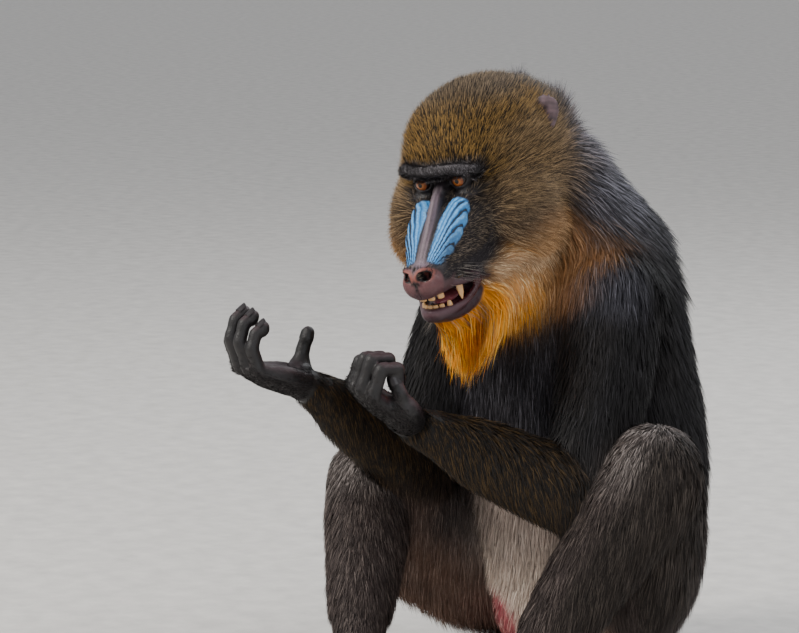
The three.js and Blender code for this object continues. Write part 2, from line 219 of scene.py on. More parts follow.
class Clay:
    """A grid of distances, kept within reach of each body, in which bodies are added and cut."""

    def __init__(self, low, high, pitch, axes=None, origin=(0, 0, 0), reach=9.0):
        self.low = vec(*low)
        self.pitch = pitch
        self.axes = np.eye(3) if axes is None else np.asarray(axes, float)
        self.origin = np.asarray(origin, float)
        self.reach = reach
        self.count = np.ceil((vec(*high) - self.low) / pitch).astype(int) + 1
        self.field = np.full(self.count, FAR, np.float32)

    def local(self, p):
        return (np.asarray(p, float) - self.origin) @ self.axes.T

    def world(self, p):
        return p @ self.axes + self.origin

    def span(self, low, high):
        """The corner indices round the space from low to high."""
        a = np.clip(np.floor((low - self.low) / self.pitch).astype(int), 0, self.count)
        b = np.clip(np.ceil((high - self.low) / self.pitch).astype(int) + 1, 0, self.count)
        return a, np.maximum(a, b)

    def lines(self, a, b):
        """The grid's own places along each axis between two corner indices."""
        made = []
        for k in range(3):
            steps = self.low[k] + self.pitch * np.arange(a[k], b[k])
            made.append(steps.reshape([-1 if k == j else 1 for j in range(3)]).astype(np.float32))
        return made

    def measure(self, shape):
        """The corner indices round a shape, its distances there and which stretch of it is nearest."""
        reach = max(self.reach, shape.blend + 2)
        return (self.measure_egg if isinstance(shape, Egg) else self.measure_limb)(shape, reach)

    def measure_egg(self, shape, reach):
        centre = self.local(shape.centre)
        axes = shape.axes @ self.axes.T
        r = shape.halves.max() + reach
        a, b = self.span(centre - r, centre + r)
        if (b <= a).any():
            return None
        x, y, z = self.lines(a, b)
        x, y, z = x - centre[0], y - centre[1], z - centre[2]
        k = 0
        for axis, half in zip(axes, shape.halves):
            k = k + ((x * axis[0] + y * axis[1] + z * axis[2]) / half) ** 2
        k = np.sqrt(np.maximum(k, 1e-6))
        far = np.sqrt(x * x + y * y + z * z)
        return a, b, far - far / k, None

    def measure_limb(self, shape, reach):
        """Between each pair of rows, as a cone with rounded ends only where the limb itself ends."""
        places = self.local(shape.rows[:, :3])
        wide, deep = shape.rows[:, 3], shape.rows[:, 4]
        across = self.axes @ shape.across
        most = np.maximum(wide, deep).max() + reach
        a, b = self.span(places.min(0) - most, places.max(0) + most)
        if (b <= a).any():
            return None
        best = np.full(b - a, FAR, np.float32)
        which = np.zeros(b - a, np.int8)
        last = len(places) - 2
        for i in range(last + 1):
            p, q = places[i], places[i + 1]
            r = max(wide[i], wide[i + 1], deep[i], deep[i + 1]) + reach
            c, d = self.span(np.minimum(p, q) - r, np.maximum(p, q) + r)
            if (d <= c).any():
                continue
            x, y, z = self.lines(c, d)
            x, y, z = x - p[0], y - p[1], z - p[2]
            run = q - p
            length = max(np.linalg.norm(run), 1e-6)
            along = run / length
            side = unit(across - along * (across @ along))
            out = np.cross(side, along)
            t = np.clip((x * run[0] + y * run[1] + z * run[2]) / length**2, 0, 1)
            w = wide[i] + (wide[i + 1] - wide[i]) * t
            h = deep[i] + (deep[i + 1] - deep[i]) * t
            x, y, z = x - t * run[0], y - t * run[1], z - t * run[2]
            u = x * side[0] + y * side[1] + z * side[2]
            v = x * out[0] + y * out[1] + z * out[2]
            e = x * along[0] + y * along[1] + z * along[2]
            cap = np.zeros_like(e)
            if i == 0:
                cap = np.minimum(e, 0)
            if i == last:
                cap = cap + np.maximum(e, 0)
            stretch = np.sqrt(1 + (e - cap) ** 2 / (u * u + v * v + 1e-3))
            u, v, e = np.abs(u) * stretch / w, np.abs(v) * stretch / h, np.abs(cap) * 2 / (w + h)
            if shape.power == 2:
                k = np.sqrt(u * u + v * v + e * e + 1e-6)
            else:
                k = (u**shape.power + v**shape.power + e**shape.power + 1e-6) ** (1 / shape.power)
            far = np.sqrt(x * x + y * y + z * z)
            one = far - far / k
            spot = window(c - a, d - a)
            nearer = one < best[spot]
            best[spot] = np.where(nearer, one, best[spot])
            which[spot] = np.where(nearer, i, which[spot])
        return a, b, best, which

    def merge(self, shape, sign):
        found = self.measure(shape)
        if found is not None:
            a, b, one, _ = found
            spot = window(a, b)
            self.field[spot] = sign * soft_min(sign * self.field[spot], one, shape.blend)

    def add(self, *shapes):
        for shape in shapes:
            self.merge(shape, 1)

    def cut(self, *shapes):
        for shape in shapes:
            self.merge(shape, -1)

    def cut_floor(self):
        x, y, z = self.lines(np.zeros(3, int), self.count)
        height = x * self.axes[0, 2] + y * self.axes[1, 2] + z * self.axes[2, 2] + self.origin[2]
        self.field = np.maximum(self.field, FLOOR_GAP - height).astype(np.float32)

    def mesh(self):
        """Points and quads where the distance is nought, facing out."""
        grid = openvdb.FloatGrid(FAR)
        grid.copyFromArray(np.ascontiguousarray(self.field))
        points, quads = grid.convertToQuads(0.0)
        points = self.world(self.low + points.astype(float) * self.pitch)
        quads = quads.astype(int)
        corners = points[quads]
        volume = np.einsum("ij,ij->i", corners.mean(1) - points.mean(0), quad_normals(corners)).sum()
        return points, quads if volume > 0 else quads[:, ::-1]


def sampled(clay, values, p):
    """Values of a grid block read at world places by blending the eight nearest."""
    spot = np.clip((clay.local(p) - clay.low) / clay.pitch, 0, clay.count - 1.001)
    base = np.floor(spot).astype(int)
    part = (spot - base).astype(np.float32)
    total = 0
    for corner in range(8):
        step = np.array([corner & 1, corner >> 1 & 1, corner >> 2 & 1])
        weight = np.prod(np.where(step, part, 1 - part), axis=1)
        found = values[tuple((base + step).T)]
        total = total + (found * weight[:, None] if found.ndim > 1 else found * weight)
    return total


# Flesh: every body under the coat, by region
REGIONS = ("crown", "cheek", "muzzle", "beard", "neck", "trunk", "belly", "upper_arm", "forearm",
           "thigh", "shank", "tail")


def mixed(a, b, share, add=(0, 0, 0)):
    return a + (b - a) * share + vec(*add)


def brow_rows():
    """The brow's rows from right to left, which end lower and further back."""
    rows = []
    for s in (-1, -0.5, 0, 0.5, 1):
        place = (s * 38.5 - 2, 2.5 - 12 * s * s, 8.2 - 4 * s**3 - 1.8 * s**4)
        rows.append((*place, 4.6 - 0.5 * abs(s), 7 - abs(s)))
    return rows


def between(top, low, *rows, **more):
    """A limb from joint to joint: rows of share of the way, half width, half depth and a shift."""
    made = []
    for share, wide, *rest in rows:
        made.append((*mixed(top, low, share, *rest[1:]), wide, *rest[:1]))
    return Limb(made, **more)


def flesh():
    """Region, shape, how far hair follows the shape's length, and the way that it drifts."""
    made = []

    def put(region, shape, along=1.0, drift=(0, 0, 0)):
        made.append((region, shape, along, np.asarray(drift, float)))

    back = -FORWARD
    put("crown", head_egg((0, -88, -8), (67, 75, 67), blend=10), 0, 0.35 * UP + back)
    put("crown", head_egg((0, -118, 4), (63, 47, 50), blend=10), 0, 0.4 * UP + back)
    put("crown", head_egg((0, -34, 4), (42, 26, 24), blend=12), 0, 0.8 * UP + back)
    for s in SIDES:
        way = back - 0.55 * UP + 0.35 * s * LEFT
        put("cheek", head_egg((s * 37, -53, -58), (34, 46, 46), blend=14), 0, way)
    put("crown", head_limb(brow_rows(), UP, blend=8), 0, 0.9 * UP)
    put("neck", Limb([(*on_head(0, -96, -20), 52), (-3, -92, 496, 56, 54), (0, -58, 444, 76, 74),
                      (0, -42, 400, 90), (0, -34, 366, 92)], blend=22))
    put("beard", Limb([(*on_head(0, -34, -98), 40, 36), (2, -112, 440, 60, 54)], blend=24), 0.4, DOWN)
    put("trunk", Limb([(0, 40, 46, 62, 56), (0, 34, 90, 84, 76), (0, 20, 140, 100, 94),
                       (0, 2, 220, 117, 110), (0, -18, 300, 116, 110), (0, -34, 368, 110, 106),
                       (0, -46, 404, 94, 90)], blend=16), -1)
    for s in SIDES:
        put("trunk", Egg((s * 27, 40, 18), (24, 30, 20), blend=14), 0, DOWN)
    put("belly", Egg((0, -46, 62), (62, 62, 54), blend=34), 0, DOWN)
    put("belly", Egg((0, -58, 150), (64, 48, 86), blend=34), 0, DOWN)
    put("tail", Limb([(0, 112, 86, 19), (0, 143, 108, 13), (0, 154, 134, 8), (0, 157, 147, 4)], blend=10))
    for s in SIDES:
        elbow, hip, knee = ELBOW[s], HIP[s], KNEE[s]
        put("upper_arm", between(SHOULDER[s], elbow, (0, 42, 48, (-10 * s, 0, 4)), (0.35, 38, 42),
                                 (0.75, 33, 36), (1, 31, 31, (0, 6, -6)), blend=16))
        put("forearm", between(elbow, WRIST[s], (0, 31), (0.18, 36), (0.55, 31), (0.84, 21.5), (1.03, 15.5),
                               blend=8), -0.35, 0.8 * DOWN)
        put("thigh", between(hip, knee, (0, 48, 54), (0.32, 49, 60, (0, 0, -6)), (0.72, 42, 46), (1, 37),
                             blend=14), 0.15, DOWN)
        put("thigh", Egg(knee, (41, 39, 41), blend=10), 0, DOWN)
        put("thigh", between(hip, knee, (0.25, 32, 36, (0, 0, -46)), (0.5, 36, 40, (0, 0, -52)),
                             (0.78, 25, 32, (0, 0, -52)), blend=16), 0, DOWN)
        put("shank", between(knee, ANKLE[s], (0, 38), (0.16, 39, 43), (0.45, 34, 40), (0.8, 28, 31),
                             (1.04, 21), blend=10), 0.6, 0.6 * DOWN)
    put("muzzle", head_limb([(0, -22, -44, 37, 32), (0, 12, -52, 33.5, 30), (0, 45, -64, 27, 24),
                             (0, 70, -74, 21, 16), (0, 80, -78, 17, 12)], power=2.6, blend=8),
        0, back - 0.15 * UP)
    for s in SIDES:
        cheek = head_limb([(s * 29, 32, -88, 9), (s * 32, 10, -88, 13), (s * 34, -16, -84, 17)], blend=10)
        put("muzzle", cheek, 0, back - 0.3 * UP)
    put("beard", head_limb([(0, -20, -102, 35, 19), (0, 12, -111, 30, 17), (0, 42, -115, 24, 12.5),
                            (0, 60, -115, 19, 10.5), (0, 72, -112.5, 14, 8)], power=2.4, blend=6),
        0, 0.7 * back - 0.8 * UP)
    return made


# Hands
HANDS = {
    -1: dict(along=(-0.33, -0.88, 0.3), palm=(0, 0.2, 0.98), thumb_sign=1, first=0.95, next=0.6,
             thumb=((2, 14, 2), (5, 25, 14), (6, 28, 34), (6, 26, 56))),
    1: dict(along=(-0.05, -0.85, 0.52), palm=(0.26, 0.5, 0.82), thumb_sign=-1, first=1.25, next=1.35,
            thumb=((14, 18, 2), (32, 30, 8), (50, 30, 18), (62, 20, 28))),
}
# Each finger's place across the palm, its knuckle's place along it and the lengths of its bones
FINGERS = ((22, 70, (27, 18, 13)), (7.5, 74, (30, 19, 14)), (-7.5, 71, (28, 18, 14)),
           (-21.5, 65, (23, 15, 12)))


class Hand:
    """Places on a hand are steps along it, towards the thumb and out of the palm, from the wrist."""

    def __init__(self, side):
        self.given = HANDS[side]
        along = unit(self.given["along"])
        palm = vec(*self.given["palm"])
        out = unit(palm - along * (palm @ along))
        thumb = np.cross(along, out) * self.given["thumb_sign"]
        self.axes = np.array([along, thumb, out])
        self.wrist = WRIST[side]

    def at(self, along, thumb, out):
        return self.wrist + vec(along, thumb, out) @ self.axes

    def digits(self):
        """For each digit its joints, the way that its nail faces and its half width."""
        made = []
        for across, knuckle, bones in FINGERS:
            turn, along, out = self.given["first"], float(knuckle), 2.0
            joints = [self.at(along - 14, across * 0.9, 0), self.at(along, across, out)]
            for bone in bones:
                along += bone * math.cos(turn)
                out += bone * math.sin(turn)
                joints.append(self.at(along, across, out))
                last = turn
                turn += self.given["next"]
            back = vec(math.sin(last), 0, -math.cos(last)) @ self.axes
            made.append((joints, back, 7.8))
        thumb = [self.at(*t) for t in self.given["thumb"]]
        tip = unit(thumb[-1] - thumb[-2])
        made.append((thumb, unit(self.axes[1] - tip * (self.axes[1] @ tip)), 8.2))
        return made

    def shapes(self):
        across = self.axes[1]
        root, ball, joint, _ = [self.at(*place) for place in self.given["thumb"]]
        palm = ((-14, 0, 0, 17, 15), (8, 0, 0, 20, 14), (30, 0, 0, 27, 13), (46, 0, 0, 29, 12),
                (54, 0, 0, 28, 9.5))
        heel = ((8, 10, 4, 12), (24, 19, 6, 12.5), (44, 21, 5, 9))
        outer = ((12, -12, 5, 8), (34, -19, 5, 9), (56, -20, 4, 7))
        made = [limb_at(self.at, palm, across=across, blend=4), limb_at(self.at, heel, blend=7),
                Limb([(*root, 15), (*ball, 13), (*mixed(ball, joint, 0.5), 9)], blend=7),
                limb_at(self.at, outer, blend=6),
                limb_at(self.at, ((60, -20, 3, 6.5), (64, 0, 3, 7), (61, 20, 3, 6.5)), blend=5)]
        for joints, back, r in self.digits():
            rows = []
            for i, place in enumerate(joints):
                bulge = r * (1.04 - 0.05 * i)
                rows.append((*place, bulge, bulge * 0.95))
                if i + 1 < len(joints):
                    rows.append((*mixed(place, joints[i + 1], 0.5), bulge * 0.88, bulge * 0.86))
            rows[-1] = (*mixed(joints[-2], joints[-1], 0.86), r * 0.84, r * 0.8)
            made.append(Limb(rows, across=across, blend=2.2, steps=2))
            made.append(Egg(mixed(joints[-2], joints[-1], 0.62) - back * 2.2, (6.2, 6.2, 6.2), blend=3))
        return made


# Feet
FOOT_LENGTH = 178.0
FOOT_TURN = {1: -0.12, -1: -0.1}
# Each toe's place across the sole, the share of the foot's length at its root and its own length
TOES = ((17, 0.66, 46), (5, 0.68, 48), (-8, 0.66, 45), (-21, 0.6, 38))


class Foot:
    """Places on a foot are steps along it, towards the great toe, and up from the floor."""

    def __init__(self, side):
        self.along = unit((FOOT_TURN[side], -1, 0))
        self.inward = vec(-side, 0, 0)
        heel = ANKLE[side].copy()
        heel[2] = 0
        self.heel = heel - 26 * self.along

    def at(self, ahead, inside_, height):
        return self.heel + ahead * self.along + inside_ * self.inward + vec(0, 0, height)

    def digits(self):
        made = []
        for across, root, length in TOES:
            start = FOOT_LENGTH * root
            steps = ((-12, 0.95, 9), (0, 1, 9.5), (length * 0.3, 1.05, 13), (length * 0.6, 1.1, 10.5),
                     (length * 0.93, 1.15, 6.6))
            made.append(([self.at(start + a, across * b, c) for a, b, c in steps], 7.2))
        great = ((44, 18, 12), (62, 30, 11), (80, 39, 9.5), (98, 43.5, 7.4))
        made.append(([self.at(*step) for step in great], 8.6))
        return made

    def shapes(self):
        sole = ((12, 0, 17, 17), (34, 0, 26, 25), (70, 0, 17, 27, 19), (112, 0, 10, 30, 12),
                (128, 0, 9, 27, 9))
        outer = ((34, -12, 9, 12, 9), (80, -18, 8, 12, 8), (112, -18, 8, 10, 8))
        ball = ((96, 20, 8, 9, 8), (114, 14, 8, 10, 8))
        made = [limb_at(self.at, rows, blend=6) for rows in (sole, outer, ball)]
        for joints, r in self.digits():
            rows = [(*place, r * (1.05 - 0.05 * i)) for i, place in enumerate(joints)]
            made.append(Limb(rows, blend=2.6, steps=2))
            made.append(Egg(mixed(joints[-2], joints[-1], 0.7) - vec(0, 0, 1.6), (6.4, 6.4, 5), blend=3))
        return made

    def owns(self, p, grow):
        d = p - self.heel
        near = (d @ self.along > -32 - grow) & (np.abs(d @ self.inward) < 58 + grow)
        return near & (d @ self.along < 215) & (p[:, 2] < 54 + 1.4 * grow)


# Ears
def ear_shapes(s):
    across = UP - 0.6 * s * LEFT
    leaf = [(s * 50, -104, 2, 12, 6), (s * 60, -107, 11, 16, 5), (s * 70, -111, 23, 15, 3.6),
            (s * 75, -114, 31, 9, 2.6)]
    bowl = [(s * 55, -100, 6, 8, 5), (s * 66, -103, 18, 9, 4), (s * 72, -107, 26, 6, 3)]
    return head_limb(leaf, across, blend=3), head_limb(bowl, across, blend=2)


# Face
RIDGE = ((21.5, 4, -21.5, 8.5, 6), (20, 13, -27, 11.6, 8.4), (19.6, 27, -36, 12.2, 9.6),
         (19, 42, -45.5, 10.8, 9.4), (15.6, 58, -55.5, 8.2, 7.6), (11.6, 73, -64.5, 5, 5))


def face_shapes():
    """The head's fine bodies: those cut first, those added, and those cut last."""
    bridge = [(0, -10, -6, 9, 8), (0, 5, -11.5, 7.4, 7.5), (0, 20, -20, 6, 7.5), (0, 38, -34, 5.6, 7.5),
              (0, 56, -50.5, 6.6, 7.5), (0, 72, -63, 9, 7)]
    first, add, last = [], [head_limb(bridge, blend=4)], []
    for s in SIDES:
        first.append(head_egg((s * 21.5, 13, -3.6), (14, 12.5, 8.5), blend=6))
        add.append(head_egg((s * 25, -8, -17), (15, 12, 7), blend=7))
        add.append(head_limb([(s * r[0], *r[1:]) for r in RIDGE], blend=2.4))
        add.append(head_egg((s * 9.4, 82, -76), (11, 10.5, 12.8), blend=2.2))
        rim = [(s * 1.2, 93, -70, 2.3), (s * 4, 93, -64.5, 2.4), (s * 9, 88.5, -60.8, 2.6),
               (s * 14.5, 82, -60.8, 2.9), (s * 18, 76, -65, 3.2), (s * 18.6, 73, -71, 3.2)]
        add.append(head_limb(rim, blend=3))
        last.append(head_egg((s * 9.6, 89.5, -65.6), (6.0, 8.5, 3.6), turned("Y", -36 * s), blend=1.6))
        add.append(head_egg((s * 16, 71, -79), (9, 12, 9.5), blend=6))
        last.append(head_limb([(s * 9, 88, -66, 4, 3.4), (s * 8, 72, -63, 3, 3)], blend=1.5))
        lip = [(0, 88, -87.5, 3.2), (s * 10, 79, -85.5, 3.6), (s * 19, 67, -84.5, 3.6),
               (s * 25.5, 58, -86, 3.5), (s * 30.5, 47, -88.5, 3.4), (s * 34, 38, -90.5, 3.4)]
        add.append(head_limb(lip, blend=4))
        jaw_lip = [(0, 80, -107.5, 4.2), (s * 8, 76, -109.5, 4.2), (s * 16, 66.5, -110, 4.2),
                   (s * 24, 53, -107.5, 4), (s * 30.5, 43, -101, 3.6), (s * 34, 37, -94, 3.4)]
        add.append(head_limb(jaw_lip, blend=4))
        add.append(Egg(on_head(*EYE[s]), (11.9, 11.9, 11.9), blend=3.0))
        last.append(head_egg((s * 20.8, 5, -2.6), (9.6, 14, 5.3), turned("Y", 6 * s), blend=1.2))
    add.append(head_egg((0, 84, -64), (12, 8.5, 6), blend=5))
    mouth = [(0, 32, -95, 20, 1), (0, 42, -95.5, 29, 2.6), (0, 52, -96.5, 29.5, 6.2), (0, 62, -97.5, 26, 8.2),
             (0, 76, -97.5, 18, 7.2), (0, 100, -97, 14, 6)]
    last.append(head_limb(mouth, power=2.4, blend=2.0))
    last.append(head_limb([(0, 96, -77, 0.7), (0, 93, -82, 1.1), (0, 91, -88, 1.3)], blend=2))
    return first, add, last


def ridge_places(h):
    """How far along a cheek ridge, the turn about it, the distance from it and the share across it."""
    path = smooth_path(RIDGE, 4)
    q = np.stack([np.abs(h[:, 0]), h[:, 1], h[:, 2]], 1)
    best = np.full(len(h), 1e9)
    along, turn, share = np.zeros(len(h)), np.zeros(len(h)), np.zeros(len(h))
    for i in range(len(path) - 1):
        a, run = path[i, :3], path[i + 1, :3] - path[i, :3]
        t = np.clip((q - a) @ run / (run @ run), 0, 1)
        off = q - a - t[:, None] * run
        far = np.linalg.norm(off, axis=1)
        out = unit(vec(1, 0, 0) - run * run[0] / (run @ run))
        top = unit(np.cross(run, out))
        top = top if top[2] > 0 else -top
        new = far < best
        best = np.where(new, far, best)
        along = np.where(new, (i + t) / (len(path) - 1), along)
        turn = np.where(new, np.arctan2(off @ out, off @ top), turn)
        share = np.where(new, (off @ out) / path[i, 3], share)
    return along, turn, best, share


class FaceMap:
    """Where the bare parts of the face lie: a share from 0 to 1 of each part at each place on the skin."""

    def __init__(self, p):
        # Places beside, ahead of and above the root of the nose, and those near the face
        h = head_places(p)
        self.h = h
        side, f, u = np.abs(h[:, 0]), h[:, 1], h[:, 2]
        self.side, self.f, self.u = side, f, u
        near = smooth(-60, -40, f) * smooth(-150, -140, u) * smooth(80, 60, side)
        self.near = near
        # Cheek ridges: blue skin, and the folds that fan out along it
        along, turn, far, share = ridge_places(h)
        over = u + 14 + 0.87 * (f - 25)
        round_it = smooth(17, 14, far) * smooth(0.02, 0.08, along) * smooth(0.99, 0.95, along)
        ridge_skin = near * round_it * smooth(-0.98, -0.74, share) * smooth(1.12, 0.92, share)
        ridge_skin *= smooth(-2.4, -2.1, turn) * smooth(2.1, 1.75, turn)
        self.ridge = ridge_skin * (1 - 0.6 * smooth(0.3, 0.95, share) * smooth(0.4, 0.75, along))
        shake = wobble(p, 34, 1) * 0.14 + wobble(p, 15, 2) * 0.05
        self.fold = share * 1.25 + along * (3.5 + 1.7 * share) + shake
        self.fold_depth = near * smooth(0.0, 0.14, along) * smooth(18, 14, far) * smooth(1.5, 1.2, share)
        self.fold_depth *= 0.25 + 0.75 * smooth(-0.5, 0.5, share + 0.7 * (along - 0.3))
        # Lids, and the creases round the eyes
        eye = np.full(len(p), 1e9)
        for s in SIDES:
            x, y, z = (h - np.array(EYE[s])).T
            eye = np.minimum(eye, np.sqrt((x / 1.15) ** 2 + z**2 + (np.minimum(y - 6, 0) / 2) ** 2))
        self.eye_far = eye
        self.eye = near * smooth(20, 14, eye)
        # Bridge, lobes of the nose and nostrils
        self.bridge = near * smooth(12.5, 9.5, side) * smooth(-24, -10, f) * smooth(-12, -7, over)
        self.bridge *= smooth(94, 82, f) * smooth(6, -2, u)
        lobe = np.sqrt(((side - 9) / 13.2) ** 2 + ((f - 82) / 13.5) ** 2 + ((u + 75) / 15.5) ** 2)
        self.wrinkle = np.cos(h[:, 0] * 1.75 + 0.9 * np.sin(f * 0.12) + 0.6 * wobble(p, 12, 8))
        self.nose = near * smooth(1.14, 1.0, lobe) * smooth(66, 74, f)
        rim = np.sqrt(((side - 9.5) / 8.6) ** 2 + ((f - 90) / 11) ** 2 + ((u + 65.5) / 6.4) ** 2)
        self.rim = near * bump_at(rim, 1.0, 0.24) * smooth(70, 80, f)
        # The nostrils' openings, painted near black later: painted shade in the recess.
        self.nostril_shade = near * smooth(0.98, 0.8, rim) * smooth(70, 76, f)
        # Lower lip and chin, upper lip, inside of the mouth, its corners and the haired muzzle
        edge = np.interp(f, (14, 22, 37, 51, 71, 83), (-100, -110, -121, -125, -123, -117))
        self.jaw = near * smooth(17, 24, f) * smooth(-3, 3, u - edge) * smooth(-88, -93, u)
        self.upper_lip = near * smooth(30, 40, f) * smooth(-80.5, -84, u) * smooth(-100, -96, u)
        self.mouth = near * smooth(30, 38, f) * smooth(-88.5, -90.5, u) * smooth(-109, -105, u)
        self.mouth *= smooth(2, -3, f + 0.75 * side - 79)
        self.corner = near * smooth(-78, -88, u) * smooth(34, 26, f)
        muzzle = near * smooth(-26, 2, f + 0.25 * (-40 - u)) * smooth(-124, -112, u) * smooth(47, 36, side)
        self.muzzle = muzzle * (1 - self.corner)
        self.lip_skin = near * smooth(50, 62, f) * smooth(-73, -79, u) * smooth(-96, -90, u)
        beside = near * inside(h, (0, 74, -62), (26, 14, 12), 0.2)
        lids = near * smooth(17.5, 12.5, eye) * smooth(-30, -12, f)
        self.bare = np.maximum.reduce([ridge_skin, self.bridge, self.nose, self.rim, self.jaw, self.mouth,
                                       beside, self.lip_skin, lids])


def groove(phase, width):
    """1 in the middle of each whole step of phase, falling off over the width."""
    return np.exp(-(((phase - np.floor(phase) - 0.5) / width) ** 2))


def pushed_in(p, n):
    """Skin places with the fine folds of the face pressed in."""
    m = FaceMap(p)
    front = smooth(-34, -24, m.f) * smooth(-150, -140, m.u)
    depth = 1.5 * groove(m.fold, 0.2) * m.fold_depth
    wrinkle = m.wrinkle * m.bridge * (1 - m.ridge) * smooth(8, 4, m.side)
    depth += 0.35 * wrinkle * smooth(6, 18, m.f)
    rings = np.cos((m.eye_far - 9.5) * 2 * math.pi / 3.1) * bump_at(m.eye_far, 14, 4.0) * smooth(2, -4, m.u)
    depth += 0.5 * rings * smooth(-24, -12, m.f)
    return p - n * (depth * front)[:, None]


def normals_of(points, quads):
    across = quad_normals(points[quads])
    total = np.zeros_like(points)
    for k in range(4):
        for j in range(3):
            total[:, j] += np.bincount(quads[:, k], across[:, j], len(points))
    return unit(total)


def used_by(quads, count):
    """Which of count points the quads use, and the quads renumbered to match."""
    used = np.unique(quads)
    place = np.zeros(count, int)
    place[used] = np.arange(len(used))
    return used, place[quads]


def kept(points, quads, wanted):
    """The quads whose corners all are wanted, with the points that they use."""
    used, quads = used_by(quads[wanted[quads].all(1)], len(points))
    return points[used], quads


def in_box(p, low, high):
    return ((p > np.array(low)) & (p < np.array(high))).all(1)


# The corners of the blocks of clay, and the size of a quad in those that don't take the body's pitch
BODY_LOW, BODY_HIGH = (-245, -350, -8), (245, 190, 640)
FACE_LOW, FACE_HIGH = vec(-62, -38, -138), vec(62, 106, 42)
HAND_LOW, HAND_HIGH = vec(-34, -52, -34), vec(150, 52, 84)
FOOT_LOW, FOOT_HIGH = vec(-66, -130, -6), vec(66, 122, 76)
EAR_MARGIN = 24
FACE_PITCH, HAND_PITCH, FOOT_PITCH, EAR_PITCH = 1.45, 1.9, 2.8, 1.7
GUIDE_PITCH = 8.0
# Where a hand's block begins along the hand and the body's ends, so that they overlap at the wrist
HAND_FROM, BODY_TO = -25, -12


class Skin:
    """The whole skin as blocks of quads that overlap a little, and the guides for hair around it."""

    def __init__(self, pitch, detail):
        rows = flesh()
        shapes = [row[1] for row in rows]
        self.body = Clay(BODY_LOW, BODY_HIGH, pitch, reach=36)
        self.body.add(*shapes)
        self.body.cut_floor()
        self.rise = np.stack(np.gradient(self.body.field), -1).astype(np.float32)
        points, quads = self.body.mesh()
        wanted = ~in_box(head_places(points), FACE_LOW + 10, FACE_HIGH - 10)
        self.blocks = [None, ("face", 0, *self.face_block(shapes, FACE_PITCH / detail))]
        for s in SIDES:
            hand = Hand(s)
            clay = Clay(HAND_LOW, HAND_HIGH, HAND_PITCH / detail, hand.axes, hand.wrist)
            clay.add(*shapes, *hand.shapes())
            p, q = clay.mesh()
            spot = clay.local(p)
            p, q = kept(p, q, (spot[:, 0] > HAND_FROM) & in_box(spot, HAND_LOW + 1, HAND_HIGH - 1))
            self.blocks.append(("hand", s, p, q))
            spot = clay.local(points)
            wanted &= ~((spot[:, 0] > BODY_TO) & in_box(spot, HAND_LOW, HAND_HIGH))

            foot = Foot(s)
            middle = foot.at(80, 0, 0)
            clay = Clay(middle + FOOT_LOW, middle + FOOT_HIGH, FOOT_PITCH / detail)
            clay.add(*shapes, *foot.shapes())
            clay.cut_floor()
            p, q = clay.mesh()
            self.blocks.append(("foot", s, *kept(p, q, foot.owns(p, 8))))
            wanted &= ~foot.owns(points, 0)

            leaf, bowl = ear_shapes(s)
            centre = head_places(leaf.rows[:, :3])
            low, high = centre.min(0) - EAR_MARGIN, centre.max(0) + EAR_MARGIN
            clay = Clay(low, high, EAR_PITCH / detail, HEAD_AXES, NASION)
            clay.add(leaf)
            clay.cut(bowl)
            self.blocks.append(("ear", s, *clay.mesh()))
        self.blocks[0] = ("body", 0, *kept(points, quads, wanted))
        self.make_guides(rows)

    def face_block(self, shapes, pitch):
        clay = Clay(FACE_LOW - 2, FACE_HIGH + 2, pitch, HEAD_AXES, NASION)
        first, add, last = face_shapes()
        clay.add(*shapes)
        clay.cut(*first)
        clay.add(*add)
        clay.cut(*last)
        p, q = clay.mesh()
        p, q = kept(p, q, in_box(head_places(p), FACE_LOW, FACE_HIGH))
        return pushed_in(p, normals_of(p, q)), q

    def make_guides(self, rows):
        """Over the space round the body: the way that hair lies, and the share of each region."""
        grid = Clay(BODY_LOW, BODY_HIGH, GUIDE_PITCH, reach=42)
        self.grid = grid
        self.flow = np.zeros((*grid.count, 3), np.float32)
        self.share = np.zeros((*grid.count, len(REGIONS)), np.float32)
        for region, shape, along, drift in rows:
            a, b, near, which = grid.measure(shape)
            spot = window(a, b)
            weight = np.exp(-np.clip(near, -50, 60) / 9)
            self.share[spot][..., REGIONS.index(region)] += weight
            way = drift
            if which is not None:
                way = along * unit(np.diff(shape.rows[:, :3], axis=0))[which] + drift
            self.flow[spot] += weight[..., None] * way

    def regions_at(self, p):
        share = sampled(self.grid, self.share, p)
        return share / np.maximum(share.sum(1, keepdims=True), 1e-9)


